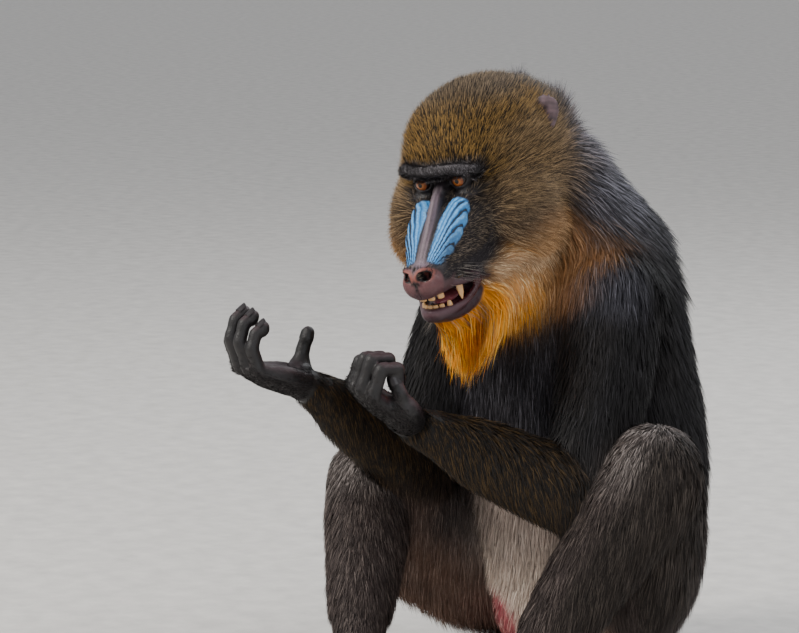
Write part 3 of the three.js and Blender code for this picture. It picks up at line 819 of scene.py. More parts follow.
# What the coat is like in each region, in millimetres and degrees
FUR_NUMBERS = ("length", "lift", "width", "many", "droop", "clump", "ticked")
# Hair runs from the root colour to the tip colour; the darker root is the hair's own colour with painted
# shade deep in the coat.
FUR_COLOURS = ("root", "tip", "tick")
FURS = {
    "crown": (18, 46, 0.7, 1.5, 0.0, 0.1, 0.5, "#080604 #1e170b #b48a44"),
    "cheek": (28, 24, 0.85, 1.3, 0.15, 0.3, 0.4, "#17130f #4a3d30 #93795a"),
    "muzzle": (8, 26, 0.6, 1.6, 0.0, 0.0, 0.25, "#141113 #2f2a28 #7a6c5c"),
    "beard": (50, 24, 1.0, 1.2, 0.5, 0.4, 0.3, "#b06a14 #eda032 #f6c478"),
    "neck": (60, 22, 1.15, 1.0, 0.25, 0.35, 0.2, "#08080a #111013 #27272c"),
    "trunk": (46, 20, 1.15, 0.9, 0.3, 0.3, 0.15, "#0b0a0b #131113 #28262a"),
    "belly": (38, 22, 1.05, 0.7, 0.4, 0.3, 0.35, "#7c6a60 #d4c0b0 #ecdccc"),
    "upper_arm": (36, 20, 1.1, 1.0, 0.25, 0.3, 0.15, "#0b0a0b #141213 #2a282b"),
    "forearm": (22, 20, 0.9, 1.5, 0.2, 0.2, 0.3, "#0b0806 #18110b #4a371b"),
    "thigh": (35, 20, 1.0, 1.1, 0.35, 0.35, 0.3, "#171414 #3f3735 #5c524e"),
    "shank": (27, 17, 0.9, 1.2, 0.3, 0.3, 0.3, "#171414 #3c3331 #645954"),
    "tail": (28, 24, 1.1, 1.0, 0.1, 0.3, 0.2, "#120f0c #2c241c #4a3e30"),
}


class Coat:
    """The coat's numbers and colours at places on the skin: by region, then by named patches."""

    def __init__(self, skin, p, n):
        self.p, self.n = p, n
        self.count = len(p)
        self.share = skin.regions_at(p)
        rows = [FURS[region] for region in REGIONS]
        table = np.array([row[:-1] for row in rows], float)
        for k, name in enumerate(FUR_NUMBERS):
            setattr(self, name, self.share @ table[:, k])
        for k, name in enumerate(FUR_COLOURS):
            setattr(self, name, self.share @ np.array([linear(row[-1].split()[k]) for row in rows]))
        self.flow = sampled(skin.grid, skin.flow, p)
        self.aim = None
        self.own_flow = np.zeros(self.count)
        self.banded = self.part("crown") + 0.5 * self.part("cheek")
        self.tufted = 0.22
        self.face = FaceMap(p)
        self.vary = wobble(p, 60, 3)
        self.head_patches()
        self.mane_patches()
        self.trunk_patches()
        self.leg_patches()
        self.face_patches()
        self.tip = self.tip * (1 + 0.16 * self.vary)[:, None]

    def part(self, name):
        return self.share[:, REGIONS.index(name)]

    def patch(self, mask, colours="", **new):
        """New numbers, single colours, or all three colours in one string, laid on by the mask."""
        new.update(zip(FUR_COLOURS, colours.split()))
        for name, value in new.items():
            value = linear(value) if isinstance(value, str) else value
            setattr(self, name, blended(getattr(self, name), value, mask))

    def head_patches(self):
        h, side, f, u = self.face.h, self.face.side, self.face.f, self.face.u
        # Crown: shorter on the forehead, a dark tuft at the back, paler temples
        crown = self.part("crown")
        self.patch(crown * smooth(-60, -18, f) * smooth(2, 12, u), length=13, lift=48, width=0.75)
        tuft = crown * smooth(-100, -140, f + 0.4 * (40 - u))
        self.patch(tuft, "#121012 #2c2828 #6e645a", length=27, lift=48)
        temple = crown * smooth(34, 56, side) * smooth(34, 6, u)
        self.patch(temple, "#1c1610 #5a4830 #b8976a", length=24, lift=30)
        top = crown * smooth(30, 52, u) * smooth(-20, -70, f)
        self.patch(top, tip="#2e2823", tick="#958066", lift=46, length=19)
        # Cheeks: gold-brown beside the eyes, then grey-brown, orange-brown behind the jaw
        cheek = self.part("cheek")
        self.patch(cheek * smooth(-40, 0, f), length=19, width=0.75)
        self.patch(cheek * smooth(-14, -34, h[:, 0]) * smooth(30, 0, u), lift=42, length=34)
        self.patch(cheek * smooth(0, -24, u), tip="#5c4a36", tick="#a48862")
        self.patch(cheek * smooth(-30, -62, u) * smooth(-60, -30, f), tip="#3e352f", tick="#7d6c5c")
        self.patch(inside(h, (80, -70, -104), (40, 42, 40)), "#3c2812 #b47c48 #d8a068", length=44)
        self.patch(inside(h, (62, -38, -84), (26, 30, 30)), "#2a2018 #8c6a48 #c09a72", length=36)
        self.patch(inside(h, (-66, -40, -84), (34, 44, 40)), "#33210f #8a6238 #b88c58", length=40)
        # A grey patch low behind the near cheek: a painted sheen on the dark coat.
        self.patch(inside(h, (102, -84, -156), (34, 30, 34)), "#17171a #3c3b42 #66656e")
        # Beard: bright orange under the jaw, pale where it meets the lip, long at the chin
        beard = self.part("beard")
        chin = inside(h, (0, 30, -128), (42, 60, 34), 0.25)
        self.patch(np.maximum(chin, beard * smooth(-56, 6, f)), "#d07c0e #ffa824 #ffc65c")
        pale = np.maximum(*[inside(h, (s * 43, -8, -100), (21, 26, 20)) for s in SIDES])
        self.patch(pale * 0.8, "#86603a #ecb070 #ffdcae", length=34)
        corner = self.face.corner * smooth(10, 22, side) * smooth(-110, -98, u)
        self.patch(corner, "#6a4c34 #b08c68 #dcc09c", length=20)
        self.patch(chin * smooth(-124, -117, u) * smooth(20, 50, f), "#d89848 #ffcc80 #ffe0b0")
        self.chin = chin * smooth(-104, -116, u) * smooth(-30, 0, f)
        self.patch(beard * smooth(-24, -84, f), "#241a10 #6a4c2c #94703f")

    def mane_patches(self):
        """Blue-grey and fluffy at the nape, long and black over the shoulders."""
        y, z = self.p[:, 1], self.p[:, 2]
        neck = self.part("neck")
        self.patch(neck * smooth(440, 500, z), "#18181b #3a3940 #7c7b86", length=54, lift=32, clump=0.25,
                   ticked=0.4)
        f, u = self.face.f, self.face.u
        behind = (neck + self.part("crown")) * smooth(-112, -150, f) * smooth(-60, -20, u) * smooth(30, 8, u)
        self.patch(behind, "#1a191c #434147 #8e8994", lift=50, length=56, clump=0.15)
        self.patch(neck * smooth(470, 420, z) * smooth(-60, 20, y), length=64)
        self.patch(neck * smooth(390, 420, z) * smooth(500, 470, z), length=74, lift=30)

    def trunk_patches(self):
        x, y, z = self.p.T
        trunk, belly = self.part("trunk"), self.part("belly")
        # Chest: blue-black with a painted grey sheen; back: brown-black towards the rump
        chest = trunk * smooth(-60, -110, y) * smooth(200, 260, z)
        self.patch(chest, tip="#211f23", tick="#4e4c52", ticked=0.3, length=40)
        self.patch(trunk * smooth(20, 80, y) * smooth(300, 160, z), tip="#211a14", tick="#3e3226")
        # Belly: cream-grey, nearly bare and pink at the groin
        rough_z = z + 24 * self.vary
        self.low_front = smooth(270, 150, rough_z) * smooth(-30, -80, y)
        self.low_front *= smooth(110, 56, np.abs(x + 18) + 16 * self.vary)
        self.patch(belly * smooth(110, 220, rough_z), "#201c1d #54494a #7c7070")
        self.patch(trunk * self.low_front, "#7c6a60 #c8b4a8 #e0ccbc")
        self.groin = inside(self.p, (-44, -98, 54), (60, 50, 46))
        self.patch(self.groin, "#a04c52 #b06a68 #d8a8a0", many=0.16, length=13)

    def leg_patches(self):
        """Hair that is short at knees, wrists and ankles, and hangs at thighs, calves and elbows."""
        x, y, z = self.p.T
        thigh, shank = self.part("thigh"), self.part("shank")
        for s in SIDES:
            knee = inside(self.p, KNEE[s] + vec(0, -8, 14), (44, 44, 40))
            # Knees have short hair, and are painted paler: a painted sheen highlight.
            self.patch(knee, length=17, lift=18, width=0.85, tick="#8e8581", tip="#524a47")
            calf = shank * smooth(-0.2, -0.7, self.n[:, 2]) * smooth(60, 110, z)
            self.patch(calf, length=40, droop=0.8)
        under = thigh * smooth(0.3, -0.4, self.n[:, 2])
        self.patch(under, length=54, droop=1.0, lift=16)
        inner = smooth(110, 60, x) * smooth(-0.5, 0.2, self.n[:, 0])
        self.patch(under * inner, "#32241f #705648 #a08474")
        flank = self.part("trunk") * smooth(190, 130, z) * smooth(0, -40, y) * (1 - self.low_front)
        self.patch(flank * smooth(20, -20, y), "#32241f #6a5246 #947a6c")
        # The outer side of the left leg is painted darker: painted shade on the side away from the main
        # light.
        outer = (thigh + shank) * smooth(0.1, 0.7, self.n[:, 0]) * smooth(120, 170, x)
        self.patch(outer, tip="#2c2623", tick="#4c443e")
        for s in SIDES:
            self.patch(inside(self.p, ELBOW[s] + vec(0, 10, -10), (40, 40, 36)), length=32, droop=0.5)
            self.patch(inside(self.p, WRIST[s], (46, 46, 46)), length=12, width=0.7, lift=16)
            self.patch(inside(self.p, ANKLE[s], (44, 44, 40)), length=13, width=0.8)
        # Bare skin round the seat
        self.rump = inside(self.p, (0, 92, 44), (58, 44, 46), 0.2)
        self.patch(self.rump, many=0.02, length=10)

    def face_patches(self):
        """Grey-black bristles on the brow, short dark hair on the muzzle, none where the face is bare."""
        m = self.face
        brow_far = np.full(self.count, 1e9)
        for row in smooth_path(brow_rows(), 3):
            brow_far = np.minimum(brow_far, np.linalg.norm((m.h - row[:3]) / (1.3, 1.4, 1.0), axis=1))
        self.brow = smooth(9.5, 6.0, brow_far) * smooth(-22, -10, m.f)
        self.patch(m.muzzle, "#121012 #2c2726 #74675a", length=7, lift=24, width=0.55, many=1.2,
                   ticked=0.3, clump=0)
        self.patch(m.muzzle * smooth(30, 42, m.side), length=14, tip="#38302a", tick="#85755f")
        self.patch(m.muzzle * smooth(-62, -76, m.u), tip="#2a2628", tick="#4a4545", length=5, ticked=0.2)
        # The brow's bristles are grey-black; their pale ticks are partly a painted highlight.
        self.patch(self.brow, "#161415 #5a5659 #aca6aa", length=6.2, lift=50, width=0.45, many=3.6,
                   ticked=0.35, clump=0, droop=0)
        self.many = self.many * (1 - smooth(0.25, 0.75, m.bare * (1 - self.brow)))

    def under(self):
        """The skin's own colour below the hair."""
        return self.root * 0.55 + self.tip * 0.3


# Colours of bare skin
PAW, PAW_WORN, PALM = linear("#110f10"), linear("#1e1a1b"), linear("#4a363a")
EAR, EAR_DARK = linear("#7c646a"), linear("#3a2e31")
# The bridge's pale second colour is a painted highlight on its crest.
BRIDGE, BRIDGE_HIGHLIGHT = linear("#221b1f"), linear("#7a6872")


def face_colours(colour, p, coat):
    """The markings of the face, the groin and the seat, laid over the colour below the hair, with a painted
    highlight on the bridge's crest and the nose's top, and painted shade in the nostrils and the mouth.
    """
    m = coat.face
    # The bridge is painted lighter along its crest: a painted highlight.
    crest_highlight = smooth(7, 2.5, m.side) * (0.75 + 0.25 * m.wrinkle)
    bridge = BRIDGE + (BRIDGE_HIGHLIGHT - BRIDGE) * (crest_highlight * smooth(2, 26, m.f))[:, None]
    # The nose's top: its own lilac-grey with a painted highlight.
    nose_top = m.near * smooth(70, 80, m.f) * smooth(-68, -63, m.u) * smooth(14, 9, m.side) * (1 - m.rim)
    lip_edge = m.near * bump_at(m.u + 108 - 0.25 * np.maximum(60 - m.f, 0), 0, 4.5) * smooth(26, 40, m.f)
    seat = coat.rump * smooth(40, 24, p[:, 2]) * smooth(52, 34, np.abs(p[:, 0]))
    for new, mask in (
        ("#2b2427", m.muzzle), ("#1a1517", m.eye), (bridge, m.bridge * (1 - m.ridge)),
        ("#4c3436", m.lip_skin), ("#633d3f", m.nose), ("#8d7a86", nose_top * 0.85),
        # Near black in the nostrils is painted shade.
        ("#a45c4e", m.rim * smooth(-74, -66, m.u) * 0.75), ("#0a0607", m.nostril_shade),
        ("#4c3338", m.nose * smooth(-76, -88, m.u) * 0.7), ("#36242a", m.jaw), ("#5e3e46", lip_edge * 0.7),
        # Dark red inside the mouth: its red flesh with painted shade.
        ("#4a3036", m.upper_lip * (1 - m.nose) * 0.8), ("#3a1218", m.mouth), ("#b4525c", coat.groin),
        ("#7078a0", coat.rump * 0.8), ("#a8606c", seat),
    ):
        colour = blended(colour, linear(new) if isinstance(new, str) else new, mask)
    return colour, np.maximum.reduce([m.mouth, 0.5 * m.nose, 0.45 * lip_edge, 0.3 * m.jaw])


def skin_colours(name, side, p, n, coat):
    """The skin's markings, with how wet and how bare it is."""
    nothing = np.zeros(len(p))
    if name == "ear":
        return EAR + (EAR_DARK - EAR) * (0.5 + 0.4 * wobble(p, 14, 5))[:, None], nothing, nothing + 1
    if name in ("face", "body"):
        return *face_colours(coat.under(), p, coat), coat.face.bare
    colour = PAW + (PAW_WORN - PAW) * (0.5 + 0.5 * wobble(p, 16, 4))[:, None]
    bare = smooth(58, 40, p[:, 2])
    if name == "hand":
        hand = Hand(side)
        along, _, out = ((p - hand.wrist) @ hand.axes.T).T
        palm = smooth(0.2, 0.8, n @ hand.axes[2]) * smooth(0, 16, along)
        colour = blended(colour, PALM, palm * 0.75)
        bare = np.maximum(smooth(-6, 10, along), smooth(14, 20, out))
        colour = colour * (0.45 + 0.55 * np.maximum(smooth(0, 34, along), palm * 0.5))[:, None]
    return blended(coat.under(), colour, bare), nothing + 0.04, bare


@functools.lru_cache(maxsize=2)
def made_skin(pitch, detail):
    return Skin(pitch, detail)


# Meshes from arrays
def mesh_from(name, points, faces, smooth_shade=True):
    """A mesh in metres from places in millimetres and arrays of faces with 3 or 4 corners."""
    mesh = bpy.data.meshes.new(name)
    faces = [f for f in faces if len(f)]
    corners = np.concatenate([f.ravel() for f in faces]).astype(np.int32)
    sizes = np.concatenate([np.full(len(f), f.shape[1]) for f in faces]).astype(np.int32)
    mesh.vertices.add(len(points))
    mesh.vertices.foreach_set("co", metres(points).ravel().astype(np.float32))
    mesh.loops.add(len(corners))
    mesh.loops.foreach_set("vertex_index", corners)
    mesh.polygons.add(len(sizes))
    mesh.polygons.foreach_set("loop_start", np.concatenate([[0], np.cumsum(sizes)[:-1]]).astype(np.int32))
    mesh.polygons.foreach_set("use_smooth", np.full(len(sizes), smooth_shade))
    mesh.update(calc_edges=True)
    return mesh


def paint(mesh, name, values):
    """A named attribute on the mesh's points: a colour from three columns, or a plain number."""
    if values.ndim > 1:
        layer = mesh.color_attributes.new(name, "FLOAT_COLOR", "POINT")
        rgba = np.concatenate([values, np.ones((len(values), 1))], 1)
        layer.data.foreach_set("color", rgba.ravel().astype(np.float32))
    else:
        layer = mesh.attributes.new(name, "FLOAT", "POINT")
        layer.data.foreach_set("value", values.astype(np.float32))


def linked(name, data):
    made = bpy.data.objects.new(name, data)
    bpy.context.scene.collection.objects.link(made)
    return made


def add_map(mesh, places):
    """The map that the export keeps, from a place for each corner."""
    layer = mesh.uv_layers.new(name=MAP_NAME)
    layer.data.foreach_set("uv", places.ravel().astype(np.float32))


def placed(name, mesh, material, nodes=()):
    piece = linked(name, mesh)
    mesh.materials.append(material)
    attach(piece, "root")
    if nodes:
        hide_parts(*nodes)


ISLAND_GAP, MAP_EDGE = 0.003, 0.004


def unwrapped(points, quads):
    """An unwrap of the quads' own shape that fills the unit square, as a place for each corner."""
    mesh = mesh_from("unwrap", points, [quads])
    flat = linked("unwrap", mesh)
    for other in bpy.context.selected_objects:
        other.select_set(False)
    bpy.context.view_layer.objects.active = flat
    flat.select_set(True)
    bpy.ops.object.mode_set(mode="EDIT")
    bpy.ops.mesh.select_all(action="SELECT")
    bpy.ops.uv.smart_project(angle_limit=math.radians(66), island_margin=ISLAND_GAP)
    bpy.ops.object.mode_set(mode="OBJECT")
    found = np.zeros(quads.size * 2, np.float32)
    mesh.uv_layers[0].data.foreach_get("uv", found)
    bpy.data.objects.remove(flat)
    bpy.data.meshes.remove(mesh)
    found = found.reshape(-1, 2)
    low, high = found.min(0), found.max(0)
    return ((found - low) / (high - low) * (1 - 2 * MAP_EDGE) + MAP_EDGE).reshape(len(quads), 4, 2)


def tube_quads(rings, around):
    """The quads between rings of points that follow one another."""
    quads = []
    for i in range(rings - 1):
        for j in range(around):
            a, b = i * around + j, i * around + (j + 1) % around
            quads.append((a, b, b + around, a + around))
    return np.array(quads)


def loft(stations, across, around=10, power=2.0):
    """A tube through rows of place, half width and half depth, as points and quads."""
    rows = np.array([full_row(*row) for row in stations], float)
    turn = np.arange(around) / around * 2 * math.pi
    c, s = np.cos(turn), np.sin(turn)
    c, s = np.sign(c) * np.abs(c) ** (2 / power), np.sign(s) * np.abs(s) ** (2 / power)
    points = []
    for i, row in enumerate(rows):
        run = unit(rows[min(i + 1, len(rows) - 1), :3] - rows[max(i - 1, 0), :3])
        side = unit(across - run * (across @ run))
        out = np.cross(side, run)
        points.append(row[:3] + c[:, None] * side * row[3] + s[:, None] * out * row[4])
    return np.concatenate(points), tube_quads(len(rows), around)


def gathered(parts):
    """Several pairs of points and quads as one."""
    points, quads, start = [], [], 0
    for p, q in parts:
        points.append(p)
        quads.append(q + start)
        start += len(p)
    return np.concatenate(points), np.concatenate(quads)


# Hair: how deep roots are, how near hair comes to the skin and floor, how far a lock draws a hair, the
# width of a hair's patch of the map, and a step that spreads the locks' tones evenly
ROOT_DEPTH, HAIR_GAP, HAIR_FLOOR = 0.8, 1.2, 1.6
LOCK_REACH = 11.0
TUFT_MAP = 0.0028
GOLDEN = 0.618034


class Roots:
    """Places on the skin from which hair grows."""

    def __init__(self, points, quads, normals, weight, maps, count):
        tri = np.concatenate([quads[:, [0, 1, 2]], quads[:, [0, 2, 3]]])
        tri_maps = np.concatenate([maps[:, [0, 1, 2]], maps[:, [0, 2, 3]]])
        corner = points[tri]
        area = np.linalg.norm(np.cross(corner[:, 1] - corner[:, 0], corner[:, 2] - corner[:, 0]), axis=1)
        total = np.cumsum(area * weight[tri].mean(1))
        pick = np.searchsorted(total, (np.arange(count) + rng.random(count)) / count * total[-1])
        pick = np.minimum(pick, len(tri) - 1)
        a, b = rng.random(count), rng.random(count)
        flip = a + b > 1
        a, b = np.where(flip, 1 - a, a), np.where(flip, 1 - b, b)
        share = np.stack([1 - a - b, a, b], 1)[:, :, None]
        self.p = (corner[pick] * share).sum(1)
        self.n = unit((normals[tri[pick]] * share).sum(1))
        self.map = (tri_maps[pick] * share).sum(1)


def across_to(v, n):
    """The part of each v that lies across its n."""
    return v - n * (v * n).sum(-1, keepdims=True)


def traced(skin, roots, coat, steps, near_skin, scale=1.0):
    """Paths of hair from their roots: they leave the skin by the lift and lie over along the flow."""
    count = len(roots.p)
    length = coat.length * scale * rng.uniform(0.72, 1.12, count)
    lift = np.radians(coat.lift * rng.uniform(0.75, 1.25, count))
    sway = rng.normal(0, 0.18, count)[:, None]
    at = roots.p - roots.n * ROOT_DEPTH
    path = [at]
    for k in range(steps):
        s = (k + 0.5) / steps
        way, normal = coat.flow, roots.n
        if not near_skin:
            normal = unit(0.5 * roots.n * (1 - s) + unit(sampled(skin.body, skin.rise, at)))
            way = sampled(skin.grid, skin.flow, at)
            weak = np.linalg.norm(way, axis=1) < 1e-3
            way = blended(unit(way), unit(coat.flow), np.maximum(weak, coat.own_flow))
        flow = unit(across_to(unit(way), normal))
        flow = unit(flow + sway * np.cross(normal, flow))
        rise = (lift * (1.35 - 0.8 * s))[:, None]
        step = flow * np.cos(rise) + normal * np.sin(rise) + DOWN * (coat.droop * s * 1.1)[:, None]
        if coat.aim is not None:
            toward = unit(coat.aim - at)
            step = blended(unit(step), toward, coat.own_flow * smooth(-0.2, 0.7, s))
        at = at + unit(step) * (length / steps)[:, None]
        if not near_skin:
            low = sampled(skin.body, skin.body.field, at)
            at = at + normal * np.clip(HAIR_GAP - low, 0, 12)[:, None]
        at = at + rng.normal(0, 0.014, (count, 3)) * length[:, None]
        path.append(at)
    return np.stack(path, 1)


def locked(roots, path, coat, cell):
    """The same paths, drawn together towards one hair of each lock."""
    spot = roots.p + np.stack([wobble(roots.p, cell * 3, k + 6) for k in range(3)], 1) * cell * 0.6
    cells = np.floor(spot / cell).astype(int)
    _, first, which = np.unique(cells, axis=0, return_index=True, return_inverse=True)
    which = which.ravel()
    lead = path[first][which]
    s = np.linspace(0, 1, path.shape[1])[None, :, None] ** 1.3
    own_way = (lead - lead[:, :1]) - (path - path[:, :1])
    draw = np.clip(coat.clump, 0, 1)[:, None, None] * s * (0.4 * own_way + 0.45 * (lead - path))
    size = np.linalg.norm(draw, axis=2, keepdims=True)
    return path + draw * np.minimum(1, LOCK_REACH / np.maximum(size, 1e-6)), which


def hair_mesh(name, roots, path, coat, lock_of):
    """Each hair as a thin vane of quads that ends in a point."""
    count, knots = path.shape[:2]
    path[..., 2] = np.maximum(path[..., 2], HAIR_FLOOR)
    run = np.diff(path, axis=1)
    run = unit(np.concatenate([run, run[:, -1:]], 1))
    side = unit(np.cross(run, np.broadcast_to(roots.n[:, None, :], run.shape)))
    twist = rng.normal(0, 0.45, count)[:, None, None]
    side = unit(side * np.cos(twist) + np.cross(run, side) * np.sin(twist))
    shape = np.interp(np.linspace(0, 1, knots), (0, 0.35, 0.7, 1), (0.75, 1.0, 0.72, 0.0))
    half = 0.5 * coat.width[:, None] * shape[None, :] * rng.uniform(0.7, 1.3, count)[:, None]
    edge = side * half[..., None]
    pairs = np.stack([(path - edge)[:, :-1], (path + edge)[:, :-1]], 2).reshape(count, -1, 3)
    points = np.concatenate([pairs, path[:, -1:]], 1)
    start = (np.arange(count) * points.shape[1])[:, None]
    quads = [start + np.array([[2 * k, 2 * k + 1, 2 * k + 3, 2 * k + 2]]) for k in range(knots - 2)]
    tips = start + np.array([[2 * knots - 4, 2 * knots - 3, 2 * knots - 2]])
    mesh = mesh_from(name, points.reshape(-1, 3), [np.concatenate(quads, 0), tips])

    along = np.append(np.repeat(np.linspace(0, 1, knots)[:-1], 2), 1.0)
    paint(mesh, "marking", hair_colours(coat, lock_of, along).reshape(-1, 3))
    paint(mesh, "along", np.tile(along, count))

    # The shading follows the skin below, which hides the vanes' own facets; on the underside it looks outward
    normal = unit(roots.n * np.where(roots.n[:, 2:] < 0, (1, 1, 0.3), (1, 1, 1)))[:, None, :]
    blade = unit(np.cross(side, run))
    blade = np.concatenate([np.repeat(blade[:, :-1], 2, axis=1), blade[:, -1:]], 1)
    soft = unit(0.8 * np.broadcast_to(normal, blade.shape) + 0.35 * blade)
    mesh.normals_split_custom_set_from_vertices(soft.reshape(-1, 3).astype(np.float32))

    # Each hair is a small patch of the map at its root's place on the skin's unwrap
    across = np.append(np.tile([-0.5, 0.5], knots - 1), 0.0)
    patch = np.stack([across, along - 0.5], 1) * TUFT_MAP
    maps = np.clip(roots.map[:, None, :], 0.002, 0.998) + patch[None]
    corner = np.zeros(len(mesh.loops), np.int32)
    mesh.loops.foreach_get("vertex_index", corner)
    add_map(mesh, maps.reshape(-1, 2)[corner])
    return mesh


def hair_colours(coat, lock_of, along):
    """Root to tip for each hair, darker at the root, which is the hair's own colour with painted shade deep
    in the coat; some tips are ticked, and each lock is a little lighter or darker.
    """
    light = np.exp(rng.normal(0, 0.13, coat.count) + coat.tufted * (np.modf(lock_of * GOLDEN)[0] - 0.5))
    ticked = rng.random(coat.count) < coat.ticked
    end = np.where(ticked[:, None], coat.tick, coat.tip)
    banded = coat.banded[:, None]
    grown = smooth(0, 1, (along[None, :] - 0.3 * banded) / (0.5 + 0.3 * banded))[..., None]
    colour = coat.root[:, None, :] + (end - coat.root)[:, None, :] * grown
    return np.clip(colour * light[:, None, None], 0, 1)


# Materials
class Signal:
    """A shader value on which Python's own signs work."""

    def __init__(self, shader, socket):
        self.shader = shader
        self.socket = socket

    def math(self, operation, *others):
        return self.shader.node("ShaderNodeMath", {"operation": operation}, dict(enumerate((self, *others))))

    def __add__(self, other):
        return self.math("ADD", other)

    def __mul__(self, other):
        return self.math("MULTIPLY", other)

    def __sub__(self, other):
        return self.math("SUBTRACT", other)

    def __rsub__(self, other):
        return (self * -1.0) + other

    __radd__ = __add__
    __rmul__ = __mul__

    def step(self, low, high):
        """0 below low, 1 above high, smooth between; low may be above high."""
        inputs = {0: self, 1: min(low, high), 2: max(low, high), 3: float(low > high), 4: float(low < high)}
        return self.shader.node("ShaderNodeMapRange", {"interpolation_type": "SMOOTHSTEP"}, inputs)


class Shader:
    """A material under construction; sockets that share a name with others are given by number."""

    def __init__(self, name, **constants):
        self.material = bpy.data.materials.new(name)
        self.material.use_nodes = True
        self.tree = self.material.node_tree
        self.surface = self.tree.nodes["Principled BSDF"]
        for socket, value in constants.items():
            self.surface.inputs[socket.replace("_", " ").title().replace("Ior", "IOR")].default_value = value

    def node(self, kind, settings, inputs, output=0):
        """A node with its settings first, then the values or links of its sockets."""
        made = self.tree.nodes.new(kind)
        for name, value in settings.items():
            setattr(made, name, value)
        for key, value in inputs.items():
            if isinstance(value, Signal):
                self.tree.links.new(value.socket, made.inputs[key])
            elif isinstance(value, np.ndarray):
                made.inputs[key].default_value = (*value[:3], 1.0)
            else:
                made.inputs[key].default_value = value
        return Signal(self, made.outputs[output])

    def attribute(self, name, output="Fac"):
        return self.node("ShaderNodeAttribute", {"attribute_name": name}, {}, output)

    def noise(self, scale, detail=3.0):
        place = self.node("ShaderNodeTexCoord", {}, {}, "Object")
        inputs = {"Vector": place, "Scale": scale, "Detail": detail, "Roughness": 0.55}
        return self.node("ShaderNodeTexNoise", {}, inputs)

    def cells(self, scale):
        place = self.node("ShaderNodeTexCoord", {}, {}, "Object")
        return self.node("ShaderNodeTexVoronoi", {}, {"Vector": place, "Scale": scale})

    def mix(self, a, b, share):
        return self.node("ShaderNodeMix", {"data_type": "RGBA"}, {0: share, 6: a, 7: b}, 2)

    def scaled(self, colour, factor):
        return self.node("ShaderNodeVectorMath", {"operation": "SCALE"}, {0: colour, 3: factor})

    def finish(self, colour, rough, height, depth):
        """Links colour and roughness, and a bump that is depth metres high."""
        self.tree.links.new(colour.socket, self.surface.inputs["Base Color"])
        self.tree.links.new(rough.socket, self.surface.inputs["Roughness"])
        inputs = {"Distance": depth, "Strength": 1.0, "Height": height}
        bump = self.node("ShaderNodeBump", {}, inputs, "Normal")
        self.tree.links.new(bump.socket, self.surface.inputs["Normal"])
        return self.material


# Colours of single materials
# The ridges' pale blue is a painted highlight on the fold crests, their darker blue painted shade on the
# folds' flanks, and the near black painted shade in the grooves.
RIDGE_HIGHLIGHT, RIDGE_SHADE, RIDGE_GROOVE_SHADE = linear("#88c6f6"), linear("#3f7ab4"), linear("#12131a")
IRIS_DARK, IRIS_HIGHLIGHT, IRIS_EDGE = linear("#5e2c10"), linear("#b87434"), linear("#241008")
EYE_WHITE, PUPIL = linear("#1c120e"), linear("#030304")
ENAMEL, ENAMEL_WORN, ENAMEL_GUM = linear("#e2b47c"), linear("#b8864e"), linear("#8a6238")


def skin_material(blue):
    """The painted markings with blue, folded cheek ridges and pores, glossier where wet; the ridges' fold
    crests carry a painted highlight, and their flanks and grooves painted shade.
    """
    shader = Shader("mandrill skin", specular_ior_level=0.5)
    base = shader.attribute("marking", "Color")
    ridge, fold, depth = shader.attribute("ridge"), shader.attribute("fold"), shader.attribute("fold_depth")
    wet, bare = shader.attribute("wet"), shader.attribute("bare")
    grain = shader.noise(420.0, 4.0)
    fine = shader.noise(1300.0, 3.0)
    pores = shader.cells(700.0)
    phase = fold + (shader.noise(160.0, 2.0) - 0.5) * 0.22
    line = (phase.math("FRACT") - 0.5).math("ABSOLUTE") + (1.0 - depth) * 0.1
    # The middle of each groove, which is painted near black as shade and also pressed into the bump.
    dark = line.step(0.27, 0.1) * depth
    fold_shade = line.step(0.44, 0.14) * depth
    # Pale blue on the fold crests, in patches: a painted highlight.
    blue = shader.mix(blue, RIDGE_HIGHLIGHT, line.step(0.2, 0.5) * grain.step(0.2, 0.8))
    # The folds' flanks are painted a darker blue: painted shade.
    blue = shader.mix(blue, RIDGE_SHADE, fold_shade * 0.6)
    colour = shader.mix(base, blue, ridge)
    # Near black in the grooves: painted shade.
    colour = shader.mix(colour, RIDGE_GROOVE_SHADE, dark * 0.95)
    colour = shader.scaled(colour, grain * 0.5 + 0.74)
    rough = grain * 0.16 + 0.44 - wet * 0.26 + (1.0 - bare) * 0.2
    height = grain * 0.5 + pores * 0.35 + fine * 0.2 - dark * 2.2 * ridge.step(0.0, 0.4)
    return shader.finish(colour, rough, height, 0.0006)


def fur_material(name, gloss):
    """The colours painted on the hairs, in streaks along them and a little uneven over the body."""
    shader = Shader(name, specular_ior_level=gloss)
    base = shader.attribute("marking", "Color")
    streak = shader.noise(260.0, 3.0)
    tone = shader.noise(46.0, 2.0)
    colour = shader.scaled(base, streak * 0.5 + tone * 0.36 + 0.58)
    rough = streak * 0.2 + 0.52 + shader.attribute("along") * 0.08
    return shader.finish(colour, rough, streak, 0.0004)


def plain_material(name, colour, low, high, scale, depth, **constants):
    """One colour with a spread of lighter and darker grain."""
    shader = Shader(name, **constants)
    grain = shader.noise(scale, 4.0)
    return shader.finish(shader.mix(colour, colour * 0.6, grain), grain * (high - low) + low, grain, depth)


